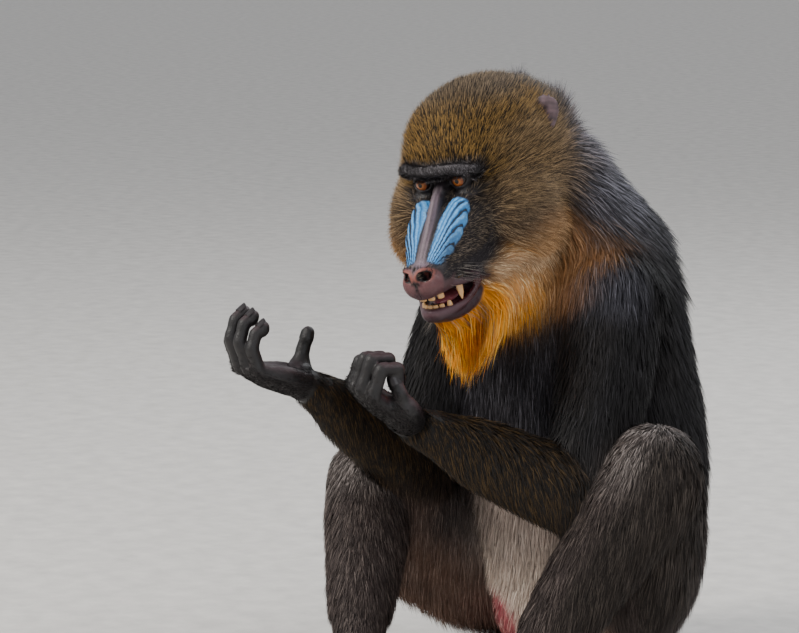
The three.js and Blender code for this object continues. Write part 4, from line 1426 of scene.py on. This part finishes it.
def eye_material(amber):
    """Iris, pupil and dark white in rings round the gaze, under a clear coat."""
    shader = Shader("amber eye", coat_weight=0.45, coat_roughness=0.03, specular_ior_level=0.15)
    turn, spin = shader.attribute("turn"), shader.attribute("spin")
    inputs = {"W": spin, "Scale": 5.0, "Detail": 3.0}
    fibres = shader.node("ShaderNodeTexNoise", {"noise_dimensions": "1D"}, inputs)
    amber = shader.mix(amber, IRIS_DARK, fibres.step(0.35, 0.65))
    # Paler towards the pupil: a painted highlight on the iris.
    amber = shader.mix(amber, IRIS_HIGHLIGHT, turn.step(0.5, 0.26) * 0.45)
    colour = shader.mix(amber, IRIS_EDGE, turn.step(0.54, 0.66))
    colour = shader.mix(colour, EYE_WHITE, turn.step(0.66, 0.72))
    colour = shader.mix(colour, PUPIL, turn.step(0.23, 0.17))
    return shader.finish(colour, fibres * 0.1 + 0.22, fibres, 0.0001)


def tooth_material():
    """Worn yellow enamel, darker at the gum."""
    shader = Shader("tooth enamel", coat_weight=0.5, coat_roughness=0.12)
    grain = shader.noise(300.0, 4.0)
    gum = shader.attribute("gum")
    colour = shader.mix(shader.mix(ENAMEL, ENAMEL_WORN, grain), ENAMEL_GUM, gum)
    return shader.finish(colour, grain * 0.14 + 0.2, grain, 0.0002)


# Settings, operators and the panel
class SkinSettings(bpy.types.PropertyGroup):
    """Fineness and colours of the skin and the eyes"""

    pitch: FloatProperty(name="Body pitch", description="Size of a face of the body's skin, in millimetres",
                         default=6.5, min=4.0, max=12.0)
    detail: FloatProperty(name="Detail", description="Fineness of the face, hands, feet and ears",
                          default=1.0, min=0.4, max=1.5)
    blue: FloatVectorProperty(name="Ridge blue", description="Blue of the cheek ridges",
                              default=linear("#4098e2"), min=0.0, max=1.0, subtype="COLOR")
    iris: FloatVectorProperty(name="Iris", description="Amber of the irises",
                              default=linear("#9a5220"), min=0.0, max=1.0, subtype="COLOR")


class CoatSettings(bpy.types.PropertyGroup):
    """Thickness and length of the coat"""

    amount: FloatProperty(name="Amount", description="Share of the full number of hairs",
                          default=1.0, min=0.02, max=1.2, subtype="FACTOR")
    length: FloatProperty(name="Length", description="Length of the hair against that in the photo",
                          default=1.0, min=0.3, max=1.5)


class StageSettings(bpy.types.PropertyGroup):
    """Floor, light and lens"""

    floor: FloatProperty(name="Floor", description="Half the width of the floor", default=80.0, unit="LENGTH")
    key: FloatProperty(name="Key light", description="Power of the main light, in watts", default=95.0)
    lens: FloatProperty(name="Lens", description="Focal length of the camera, in millimetres", default=150.19)


def skin_now():
    given = bpy.context.scene.mandrill_skin
    return made_skin(given.pitch, given.detail)


# The corner and size of each block's tile in the skin's map
SKIN_TILES = {"body": [(0.6, 0.0, 0.4, 0.6)], "face": [(0.0, 0.0, 0.6, 0.6)],
              "hand": [(0.0, 0.6, 0.3, 0.4), (0.3, 0.6, 0.3, 0.4)],
              "foot": [(0.6, 0.6, 0.2, 0.2), (0.8, 0.6, 0.2, 0.2)],
              "ear": [(0.6, 0.8, 0.2, 0.2), (0.8, 0.8, 0.2, 0.2)]}
FLESH_WORDS = ("ear", "brow", "cheek", "nose", "muzzle", "head", "neck", "trunk", "tail", "forearm", "thigh",
               "shank", "hand", "finger", "thumb", "foot", "toe", "great")
FLESH_NODES = [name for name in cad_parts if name.split("_")[0] in FLESH_WORDS]
FLESH_NODES += ["lower_jaw", "upper_arm_left", "upper_arm_right"]


class MANDRILL_OT_skin(bpy.types.Operator):
    """Build the one skin over all of the flesh, with its folds and markings"""

    bl_idname = "mandrill.skin"
    bl_label = "Skin"

    def execute(self, context):
        skin = skin_now()
        tiles = {name: list(places) for name, places in SKIN_TILES.items()}
        parts, maps, layers = [], [], []
        for name, side, p, q in skin.blocks:
            n = normals_of(p, q)
            coat = Coat(skin, p, n)
            colour, wet, bare = skin_colours(name, side, p, n, coat)
            on_face = float(name in ("face", "body"))
            m = coat.face
            layers.append((colour, wet, bare, m.ridge * on_face, m.fold, m.fold_depth * on_face))
            x, y, w, h = tiles[name].pop(0)
            maps.append(unwrapped(p, q) * (w, h) + (x, y))
            parts.append((p, q))
        points, quads = gathered(parts)
        mesh = mesh_from("skin", points, [quads])
        for k, name in enumerate(("marking", "wet", "bare", "ridge", "fold", "fold_depth")):
            paint(mesh, name, np.concatenate([layer[k] for layer in layers]))
        add_map(mesh, np.concatenate(maps))
        material = skin_material(vec(*context.scene.mandrill_skin.blue))
        placed("skin", mesh, material, FLESH_NODES)
        return {"FINISHED"}


class MANDRILL_OT_eyes(bpy.types.Operator):
    """Build both eyeballs with amber irises"""

    bl_idname = "mandrill.eyes"
    bl_label = "Eyes"

    def execute(self, context):
        material = eye_material(vec(*context.scene.mandrill_skin.iris))
        rings, around, pole = 40, 32, 0.01
        for s, side in SIDES.items():
            # Rings round the gaze, which goes a little outward, and a bulge for the cornea
            turn = np.linspace(pole, math.pi - pole, rings)
            spin = np.arange(around) / around * 2 * math.pi
            turn, spin = [g.ravel() for g in np.meshgrid(turn, spin, indexing="ij")]
            bulge = EYE_RADIUS + 0.9 * smooth(0.62, 0.1, turn)
            gaze = unit(vec(0.04 * s + 0.02, 1, 0.0))
            right = unit(np.cross(gaze, vec(0, 0, 1)))
            over = np.cross(right, gaze)
            out = np.cos(turn)[:, None] * gaze
            out = out + np.sin(turn)[:, None] * (np.cos(spin)[:, None] * right + np.sin(spin)[:, None] * over)
            points = on_head(*EYE[s]) + (out * bulge[:, None]) @ HEAD_AXES
            mesh = mesh_from(f"eyeball_{side}", points, [tube_quads(rings, around)[:, [0, 3, 2, 1]]])
            paint(mesh, "turn", turn)
            paint(mesh, "spin", np.minimum(spin, 2 * math.pi - spin) * 4)
            placed(f"eyeball_{side}", mesh, material, [f"eye_{side}"])
        return {"FINISHED"}


def tooth(place, tall, wide, thick, down, tip=0.92, lean=0.0):
    """A tooth from its gum at place, tall millimetres long, as points, quads and how near the gum."""
    face_out = unit(vec(place[0] * 0.9, 22, 0))
    across = np.cross(face_out, vec(0, 0, 1))
    rows = []
    for t, w in ((0, 0.8), (0.15, 0.92), (0.4, 1), (0.7, 0.7 + 0.3 * tip), (0.93, tip), (1, tip * 0.6)):
        at = vec(*place) + vec(0, lean * t, down * tall * t)
        rows.append((*on_head(*at), wide / 2 * w, thick / 2 * w * (1 - 0.35 * t)))
    rows.append((*on_head(*(vec(*place) + vec(0, lean, down * tall * 1.02))), 0.05))
    p, q = loft(rows, across @ HEAD_AXES, 10, 3.2)
    gum = np.repeat([1, 0.6, 0.1, 0, 0, 0, 0], 10).astype(float)
    return p, q, gum


# Each tooth's group, its place at the left side's gum, height, width, thickness, way down, tip and lean
TEETH = (
    ("upper_incisors", (4.6, 80.5, -88), 7.0, 7.6, 4.4, -1),
    ("upper_incisors", (12.4, 75.5, -87), 8.2, 7.0, 4.4, -1),
    ("upper_incisors", (25, 45, -87), 5, 6, 5, -1),
    ("lower_incisors", (2.9, 75, -109.5), 7.8, 5.7, 4, 1),
    ("lower_incisors", (8.6, 72.5, -109.5), 7.6, 5.6, 4, 1),
    ("lower_incisors", (14.3, 67, -109), 8.2, 5.8, 5, 1, 0.6),
    ("canine", (23.6, 55.5, -83.5), 20.5, 7.0, 6.2, -1, 0.34, 1.5),
)
TOOTH_NODES = {"upper_incisors": "upper_teeth", "lower_incisors": "lower_teeth",
               "canine_left": "upper_canine_left", "canine_right": "upper_canine_right"}


class MANDRILL_OT_teeth(bpy.types.Operator):
    """Build the teeth that the open mouth shows"""

    bl_idname = "mandrill.teeth"
    bl_label = "Teeth"

    def execute(self, context):
        material = tooth_material()
        groups = {name: [] for name in TOOTH_NODES}
        for s, side in SIDES.items():
            for name, (left, forward, up), *sizes in TEETH:
                name = f"canine_{side}" if name == "canine" else name
                groups[name].append(tooth((s * left, forward, up), *sizes))
        for name, teeth in groups.items():
            points, quads = gathered([(p, q) for p, q, _ in teeth])
            mesh = mesh_from(name, points, [quads])
            paint(mesh, "gum", np.concatenate([gum for _, _, gum in teeth]))
            placed(name, mesh, material, [TOOTH_NODES[name]])
        return {"FINISHED"}


class MANDRILL_OT_tongue(bpy.types.Operator):
    """Build the tongue behind the lower teeth"""

    bl_idname = "mandrill.tongue"
    bl_label = "Tongue"

    def execute(self, context):
        rows = []
        for t in np.linspace(0, 1, 12):
            full = (1 - abs(2 * t - 1) ** 3) ** 0.5 + 0.02
            at = on_head(1.5 * t, 22 + 47 * t, -105 + 2.5 * t * t)
            rows.append((*at, (14 - 4 * t) * full, (5.2 - 1.2 * t) * full))
        points, quads = loft(rows, LEFT, 16)
        mesh = mesh_from("tongue_flesh", points, [quads])
        material = plain_material("wet tongue", linear("#a05058"), 0.22, 0.42, 400.0, 0.0004, coat_weight=0.5)
        placed("tongue_flesh", mesh, material, ["tongue"])
        return {"FINISHED"}


NAIL_ROWS, NAIL_AROUND = 7, 9
NAIL_LENGTH, NAIL_SPREAD = 10.5, 1.9


def nail(joints, back, r):
    """A curved plate over a digit's last bone, open at its root, as points and quads."""
    run = unit(joints[-1] - joints[-2])
    back = unit(back - run * (back @ run))
    side = np.cross(run, back)
    start = mixed(joints[-2], joints[-1], 0.5)
    points, quads = [], []
    for i in range(NAIL_ROWS):
        for shell in (1.0, 0.8):
            for j in range(NAIL_AROUND):
                turn = (j / (NAIL_AROUND - 1) - 0.5) * NAIL_SPREAD
                reach = NAIL_LENGTH * i / (NAIL_ROWS - 1) * (1 - 0.14 * (turn / (NAIL_SPREAD / 2)) ** 2)
                out = r + 0.9 * shell - 0.35 * (i / (NAIL_ROWS - 1)) ** 3
                points.append(start + run * reach + (back * math.cos(turn) + side * math.sin(turn)) * out)
    under, row = NAIL_AROUND, 2 * NAIL_AROUND
    for i in range(NAIL_ROWS - 1):
        for j in range(NAIL_AROUND - 1):
            a = i * row + j
            b = a + row
            quads.append((a, b, b + 1, a + 1))
            quads.append((a + under, a + under + 1, b + under + 1, b + under))
    for j in range(NAIL_AROUND - 1):
        b = (NAIL_ROWS - 1) * row + j
        quads.append((b, b + under, b + under + 1, b + 1))
    return np.array(points), np.array(quads)


class MANDRILL_OT_nails(bpy.types.Operator):
    """Build the nails of the fingers and toes as one piece"""

    bl_idname = "mandrill.nails"
    bl_label = "Nails"

    def execute(self, context):
        parts = []
        for s in SIDES:
            parts += [nail(joints, back, r * 0.8) for joints, back, r in Hand(s).digits()]
            parts += [nail(joints, vec(0, 0, 1), r * 0.86) for joints, r in Foot(s).digits()]
        points, quads = gathered(parts)
        mesh = mesh_from("nails", points, [quads])
        material = plain_material("dark nail", linear("#2c2628"), 0.25, 0.42, 500.0, 0.0002)
        placed("nails", mesh, material)
        return {"FINISHED"}


# Each coat piece: the record's slot, how many hairs, the steps of each, the size of a lock and its node
COATS = {
    "crown_fur": ("crown_fur", 64000, 2, 5.0, ()),
    "cheek_fur": ("crown_fur", 54000, 2, 6.0, ()),
    "beard_fur": ("beard_fur", 26000, 3, 6.0, ("beard",)),
    "mane_fur": ("mane_fur", 36000, 3, 8.0, ()),
    "back_fur": ("mane_fur", 46000, 2, 8.0, ()),
    "front_fur": ("mane_fur", 34000, 2, 8.0, ()),
    "arm_fur": ("arm_fur", 58000, 2, 7.0, ()),
    "leg_fur_left": ("leg_fur", 48000, 2, 8.0, ()),
    "leg_fur_right": ("leg_fur", 48000, 2, 8.0, ()),
    "face_fur": ("brow_fur", 44000, 2, 4.0, ()),
}
PIECE_OF_REGION = {"crown": "crown_fur", "cheek": "cheek_fur", "beard": "beard_fur", "neck": "mane_fur",
                   "trunk": "back_fur", "tail": "back_fur", "belly": "front_fur", "upper_arm": "arm_fur",
                   "forearm": "arm_fur", "muzzle": "face_fur"}


GLOSSY = ("mane_fur", "arm_fur", "back_fur")
GLOSS, DULL = 0.35, 0.22
# The trunk's hair ahead of this place belongs to the front piece
FRONT_FROM = -30


def piece_of(coat):
    """The coat piece to which each place belongs."""
    names = list(COATS)
    region = np.argmax(coat.share, axis=1)
    made = np.zeros(coat.count, int)
    for name, piece in PIECE_OF_REGION.items():
        made[region == REGIONS.index(name)] = names.index(piece)
    legs = (region == REGIONS.index("thigh")) | (region == REGIONS.index("shank"))
    made[legs] = np.where(coat.p[legs, 0] > 0, names.index("leg_fur_left"), names.index("leg_fur_right"))
    made[(region == REGIONS.index("trunk")) & (coat.p[:, 1] < FRONT_FROM)] = names.index("front_fur")
    made[(coat.brow > 0.5) | (coat.face.muzzle > 0.5)] = names.index("face_fur")
    return made


def paw_shares(name, side, p, n):
    """How far each place is a bare paw's, and how much hair a bare paw still has there."""
    if name == "hand":
        hand = Hand(side)
        along, _, out = ((p - hand.wrist) @ hand.axes.T).T
        hairy = smooth(0.1, -0.5, n @ hand.axes[2]) * smooth(84, 60, along)
        hairy = np.maximum(hairy, smooth(34, 12, along)) * smooth(20, 13, out)
        return np.maximum(smooth(-4, 12, along), smooth(14, 20, out)), hairy * 0.8
    if name == "foot":
        return smooth(52, 40, p[:, 2]), smooth(0.1, 0.6, n[:, 2]) * smooth(8, 16, p[:, 2]) * 0.8
    return np.zeros(len(p)), np.ones(len(p))


@functools.lru_cache(maxsize=1)
def coat_ground(skin):
    """All skin that bears hair: points, quads, normals, how much hair and the piece of each quad."""
    parts, normals, paws = [], [], []
    for name, side, p, q in skin.blocks:
        if name != "ear":
            parts.append((p, q))
            normals.append(normals_of(p, q))
            paws.append(paw_shares(name, side, p, normals[-1]))
    points, quads = gathered(parts)
    normals = np.concatenate(normals)
    bare, hairy = np.concatenate(paws, axis=1)
    coat = Coat(skin, points, normals)
    which = piece_of(coat)
    which[bare > 0.5] = list(COATS).index("face_fur")
    return points, quads, normals, coat.many * (1 - bare * (1 - hairy)), which[quads[:, 0]]


def grow_piece(name, amount, scale):
    slot, count, steps, cell, nodes = COATS[name]
    skin = skin_now()
    points, quads, normals, many, which = coat_ground(skin)
    used, quads = used_by(quads[which == list(COATS).index(name)], len(points))
    points = points[used]
    maps = unwrapped(points, quads)
    roots = Roots(points, quads, normals[used], many[used], maps, int(count * amount))
    coat = Coat(skin, roots.p, roots.n)
    if name == "face_fur":
        add_paw_fur(coat, roots)
        coat.tufted = 0.1
    if name == "beard_fur":
        point_beard(coat, roots)
    path = traced(skin, roots, coat, steps, name == "face_fur", scale)
    path, lock_of = locked(roots, path, coat, cell)
    mesh = hair_mesh(name, roots, path, coat, lock_of)
    material = fur_material(name.replace("_", " "), GLOSS if name in GLOSSY else DULL)
    placed(name, mesh, material, nodes)


BEARD_TIP, BEARD_LENGTH = (1, 63, -208), 118


def point_beard(coat, roots):
    """The hair of the chin grows together into one point below it."""
    wide = rng.random(coat.count)[:, None] ** 1.3
    spread = rng.normal(0, 1, (coat.count, 3)) * (6, 6, 3)
    spread += wide * (coat.face.h - (0, 45, 0)) * (1.15, 0.85, 0) + wide * (0, 0, 34)
    coat.aim = on_head(*BEARD_TIP) + spread @ HEAD_AXES
    far = np.minimum(np.linalg.norm(coat.aim - roots.p, axis=1), BEARD_LENGTH)
    coat.length = blended(coat.length, far * rng.uniform(0.55, 1.08, coat.count), coat.chin)
    coat.own_flow = coat.chin
    coat.patch(coat.chin, lift=12, droop=0, clump=0.3, width=1.0)


def add_paw_fur(coat, roots):
    """Short black hair on the backs of the hands and feet, and the brow's hair, which stands up."""
    short = dict(colours="#0e0c0d #1c191a #3a3434", lift=16, clump=0, droop=0)
    for s in SIDES:
        hand, foot = Hand(s), Foot(s)
        spot = (roots.p - hand.wrist) @ hand.axes.T
        on = smooth(-16, 6, spot[:, 0]) * in_box(spot, HAND_LOW, HAND_HIGH)
        coat.patch(on, length=6, width=0.6, **short)
        coat.flow = blended(unit(coat.flow), hand.axes[0], on)
        on = foot.owns(roots.p, 8) * smooth(60, 50, roots.p[:, 2])
        coat.patch(on, length=7, width=0.7, **short)
        coat.flow = blended(unit(coat.flow), foot.along + vec(0, 0, -0.3), on)
    coat.flow = blended(unit(coat.flow), UP + 0.35 * FORWARD, coat.brow)


class MANDRILL_OT_coat(bpy.types.Operator):
    """Grow the coat in ten pieces of thin vanes over the skin"""

    bl_idname = "mandrill.coat"
    bl_label = "Coat"

    def execute(self, context):
        given = context.scene.mandrill_coat
        for name in COATS:
            grow_piece(name, given.amount, given.length)
        return {"FINISHED"}


class MANDRILL_OT_whiskers(bpy.types.Operator):
    """Add the sparse pale whiskers of the lips and the lashes over the eyes"""

    bl_idname = "mandrill.whiskers"
    bl_label = "Whiskers"

    def execute(self, context):
        parts, tone = [], []

        def hair(start, way, length, bend, half, pale):
            rows = []
            for t in np.linspace(0, 1, 7):
                at = start + way * length * t + bend * length * t * t
                rows.append((*at, half * (1 - 0.9 * t)))
            p, q = loft(rows, unit(np.cross(way, UP)), 3)
            parts.append((p, q))
            tone.append(np.full(len(p), pale))

        for s in SIDES:
            for _ in range(34):
                f = rng.uniform(36, 78)
                u = rng.uniform(-84, -72)
                start = on_head(s * (27 - 0.32 * (f - 36)), f, u)
                way = unit(s * LEFT * rng.uniform(0.6, 1.1) - 0.35 * FORWARD - UP * rng.uniform(0.1, 0.5))
                hair(start, way, rng.uniform(12, 34), -0.35 * FORWARD + 0.2 * DOWN, 0.16, rng.uniform(0.4, 1))
            for _ in range(16):
                f = rng.uniform(30, 74)
                start = on_head(s * (24 - 0.3 * (f - 30)), f, -120 + rng.uniform(-3, 3))
                way = unit(s * LEFT * 0.7 - 0.2 * FORWARD - UP * rng.uniform(0.4, 0.9))
                hair(start, way, rng.uniform(10, 24), 0.3 * DOWN, 0.15, rng.uniform(0.3, 0.9))
            for k in range(22):
                t = k / 21 * 2 - 1
                start = on_head(s * (21 + 8.5 * t), 5.5 - 4.5 * t * t, 1.6 - 1.5 * t * t)
                way = unit(FORWARD + 0.35 * s * t * LEFT + 0.1 * UP)
                hair(start, way, rng.uniform(5, 7.5), -0.35 * UP, 0.17, 0.02)
        points, quads = gathered(parts)
        mesh = mesh_from("whiskers", points, [quads])
        paint(mesh, "tone", np.concatenate(tone))
        shader = Shader("whisker", specular_ior_level=0.4)
        grain = shader.noise(300.0)
        colour = shader.mix(linear("#0a0909"), linear("#c8bcb0"), shader.attribute("tone"))
        colour = shader.scaled(colour, grain * 0.4 + 0.8)
        material = shader.finish(colour, grain * 0.2 + 0.35, grain, 0.0001)
        placed("whiskers", mesh, material)
        return {"FINISHED"}


# Each light's place in metres, its share of the main light's power, its width and its colour
LIGHTS = (((-1.3, -2.7, 2.7), 1.25, 1.3, (1, 0.96, 0.9)), ((3.2, -1.6, 1.3), 0.3, 2.2, (0.96, 0.97, 1)),
          ((-0.2, 2.4, 2.6), 0.55, 1.4, (0.94, 0.97, 1)), ((1.6, 1.2, 2.8), 0.2, 1.2, (1, 1, 1)))
LIGHTS_AIM = vec(20, -140, 330)
CAMERA_PLACE = vec(2365.92, -2472.58, 838.03)
CAMERA_BACK = vec(0.7242, -0.6754, 0.1392)


class MANDRILL_OT_stage(bpy.types.Operator):
    """Set the floor, the soft lights and the camera"""

    bl_idname = "mandrill.stage"
    bl_label = "Stage"

    def execute(self, context):
        given = context.scene.mandrill_stage
        reach = given.floor * 1000
        corners = np.array([(x * reach, y * reach, 0) for x, y in ((-1, -1), (1, -1), (1, 1), (-1, 1))])
        mesh = mesh_from("floor", corners, [np.array([[0, 1, 2, 3]])], False)
        floor = linked("floor", mesh)
        mesh.materials.append(plain_material("pale floor", linear("#f0ece6"), 0.6, 0.8, 30.0, 0.0002))
        aim = Vector(metres(LIGHTS_AIM))
        for k, (place, share, size, tint) in enumerate(LIGHTS):
            light = bpy.data.lights.new(f"light_{k}", "AREA")
            light.energy, light.size, light.color = given.key * share, size, tint
            lamp = linked(f"light_{k}", light)
            lamp.location = place
            lamp.rotation_euler = (aim - lamp.location).to_track_quat("-Z", "Y").to_euler()
        world = bpy.data.worlds.new("pale room")
        world.use_nodes = True
        shade = world.node_tree.nodes["Background"]
        shade.inputs[0].default_value = (0.86, 0.88, 0.92, 1)
        shade.inputs[1].default_value = 0.6
        context.scene.world = world
        camera = bpy.data.cameras.new("camera")
        camera.lens = given.lens
        camera.clip_end = 500
        holder = linked("camera", camera)
        holder.location = metres(CAMERA_PLACE)
        holder.rotation_euler = Vector(-CAMERA_BACK).to_track_quat("-Z", "Y").to_euler()
        context.scene.camera = holder
        return {"FINISHED"}


OPERATORS = (MANDRILL_OT_skin, MANDRILL_OT_eyes, MANDRILL_OT_teeth, MANDRILL_OT_tongue, MANDRILL_OT_nails,
             MANDRILL_OT_coat, MANDRILL_OT_whiskers, MANDRILL_OT_stage)
SETTINGS = {"mandrill_skin": SkinSettings, "mandrill_coat": CoatSettings, "mandrill_stage": StageSettings}


class MANDRILL_PT_panel(bpy.types.Panel):
    """The steps of the build, with their settings"""

    bl_idname = "MANDRILL_PT_panel"
    bl_label = "Mandrill"
    bl_space_type = "VIEW_3D"
    bl_region_type = "UI"
    bl_category = "Mandrill"

    def draw(self, context):
        for name, group in SETTINGS.items():
            for field in group.__annotations__:
                self.layout.prop(getattr(context.scene, name), field)
        for operator in OPERATORS:
            self.layout.operator(operator.bl_idname)


def register():
    for name, group in SETTINGS.items():
        bpy.utils.register_class(group)
        setattr(bpy.types.Scene, name, PointerProperty(type=group))
    for operator in OPERATORS:
        bpy.utils.register_class(operator)
    bpy.utils.register_class(MANDRILL_PT_panel)


def unregister():
    bpy.utils.unregister_class(MANDRILL_PT_panel)
    for operator in reversed(OPERATORS):
        bpy.utils.unregister_class(operator)
    for name, group in SETTINGS.items():
        delattr(bpy.types.Scene, name)
        bpy.utils.unregister_class(group)


def main():
    register()
    bpy.ops.mandrill.skin()
    bpy.ops.mandrill.eyes()
    bpy.ops.mandrill.teeth()
    bpy.ops.mandrill.tongue()
    bpy.ops.mandrill.nails()
    bpy.ops.mandrill.coat()
    bpy.ops.mandrill.whiskers()
    bpy.ops.mandrill.stage()


if __name__ == "__main__":
    main()
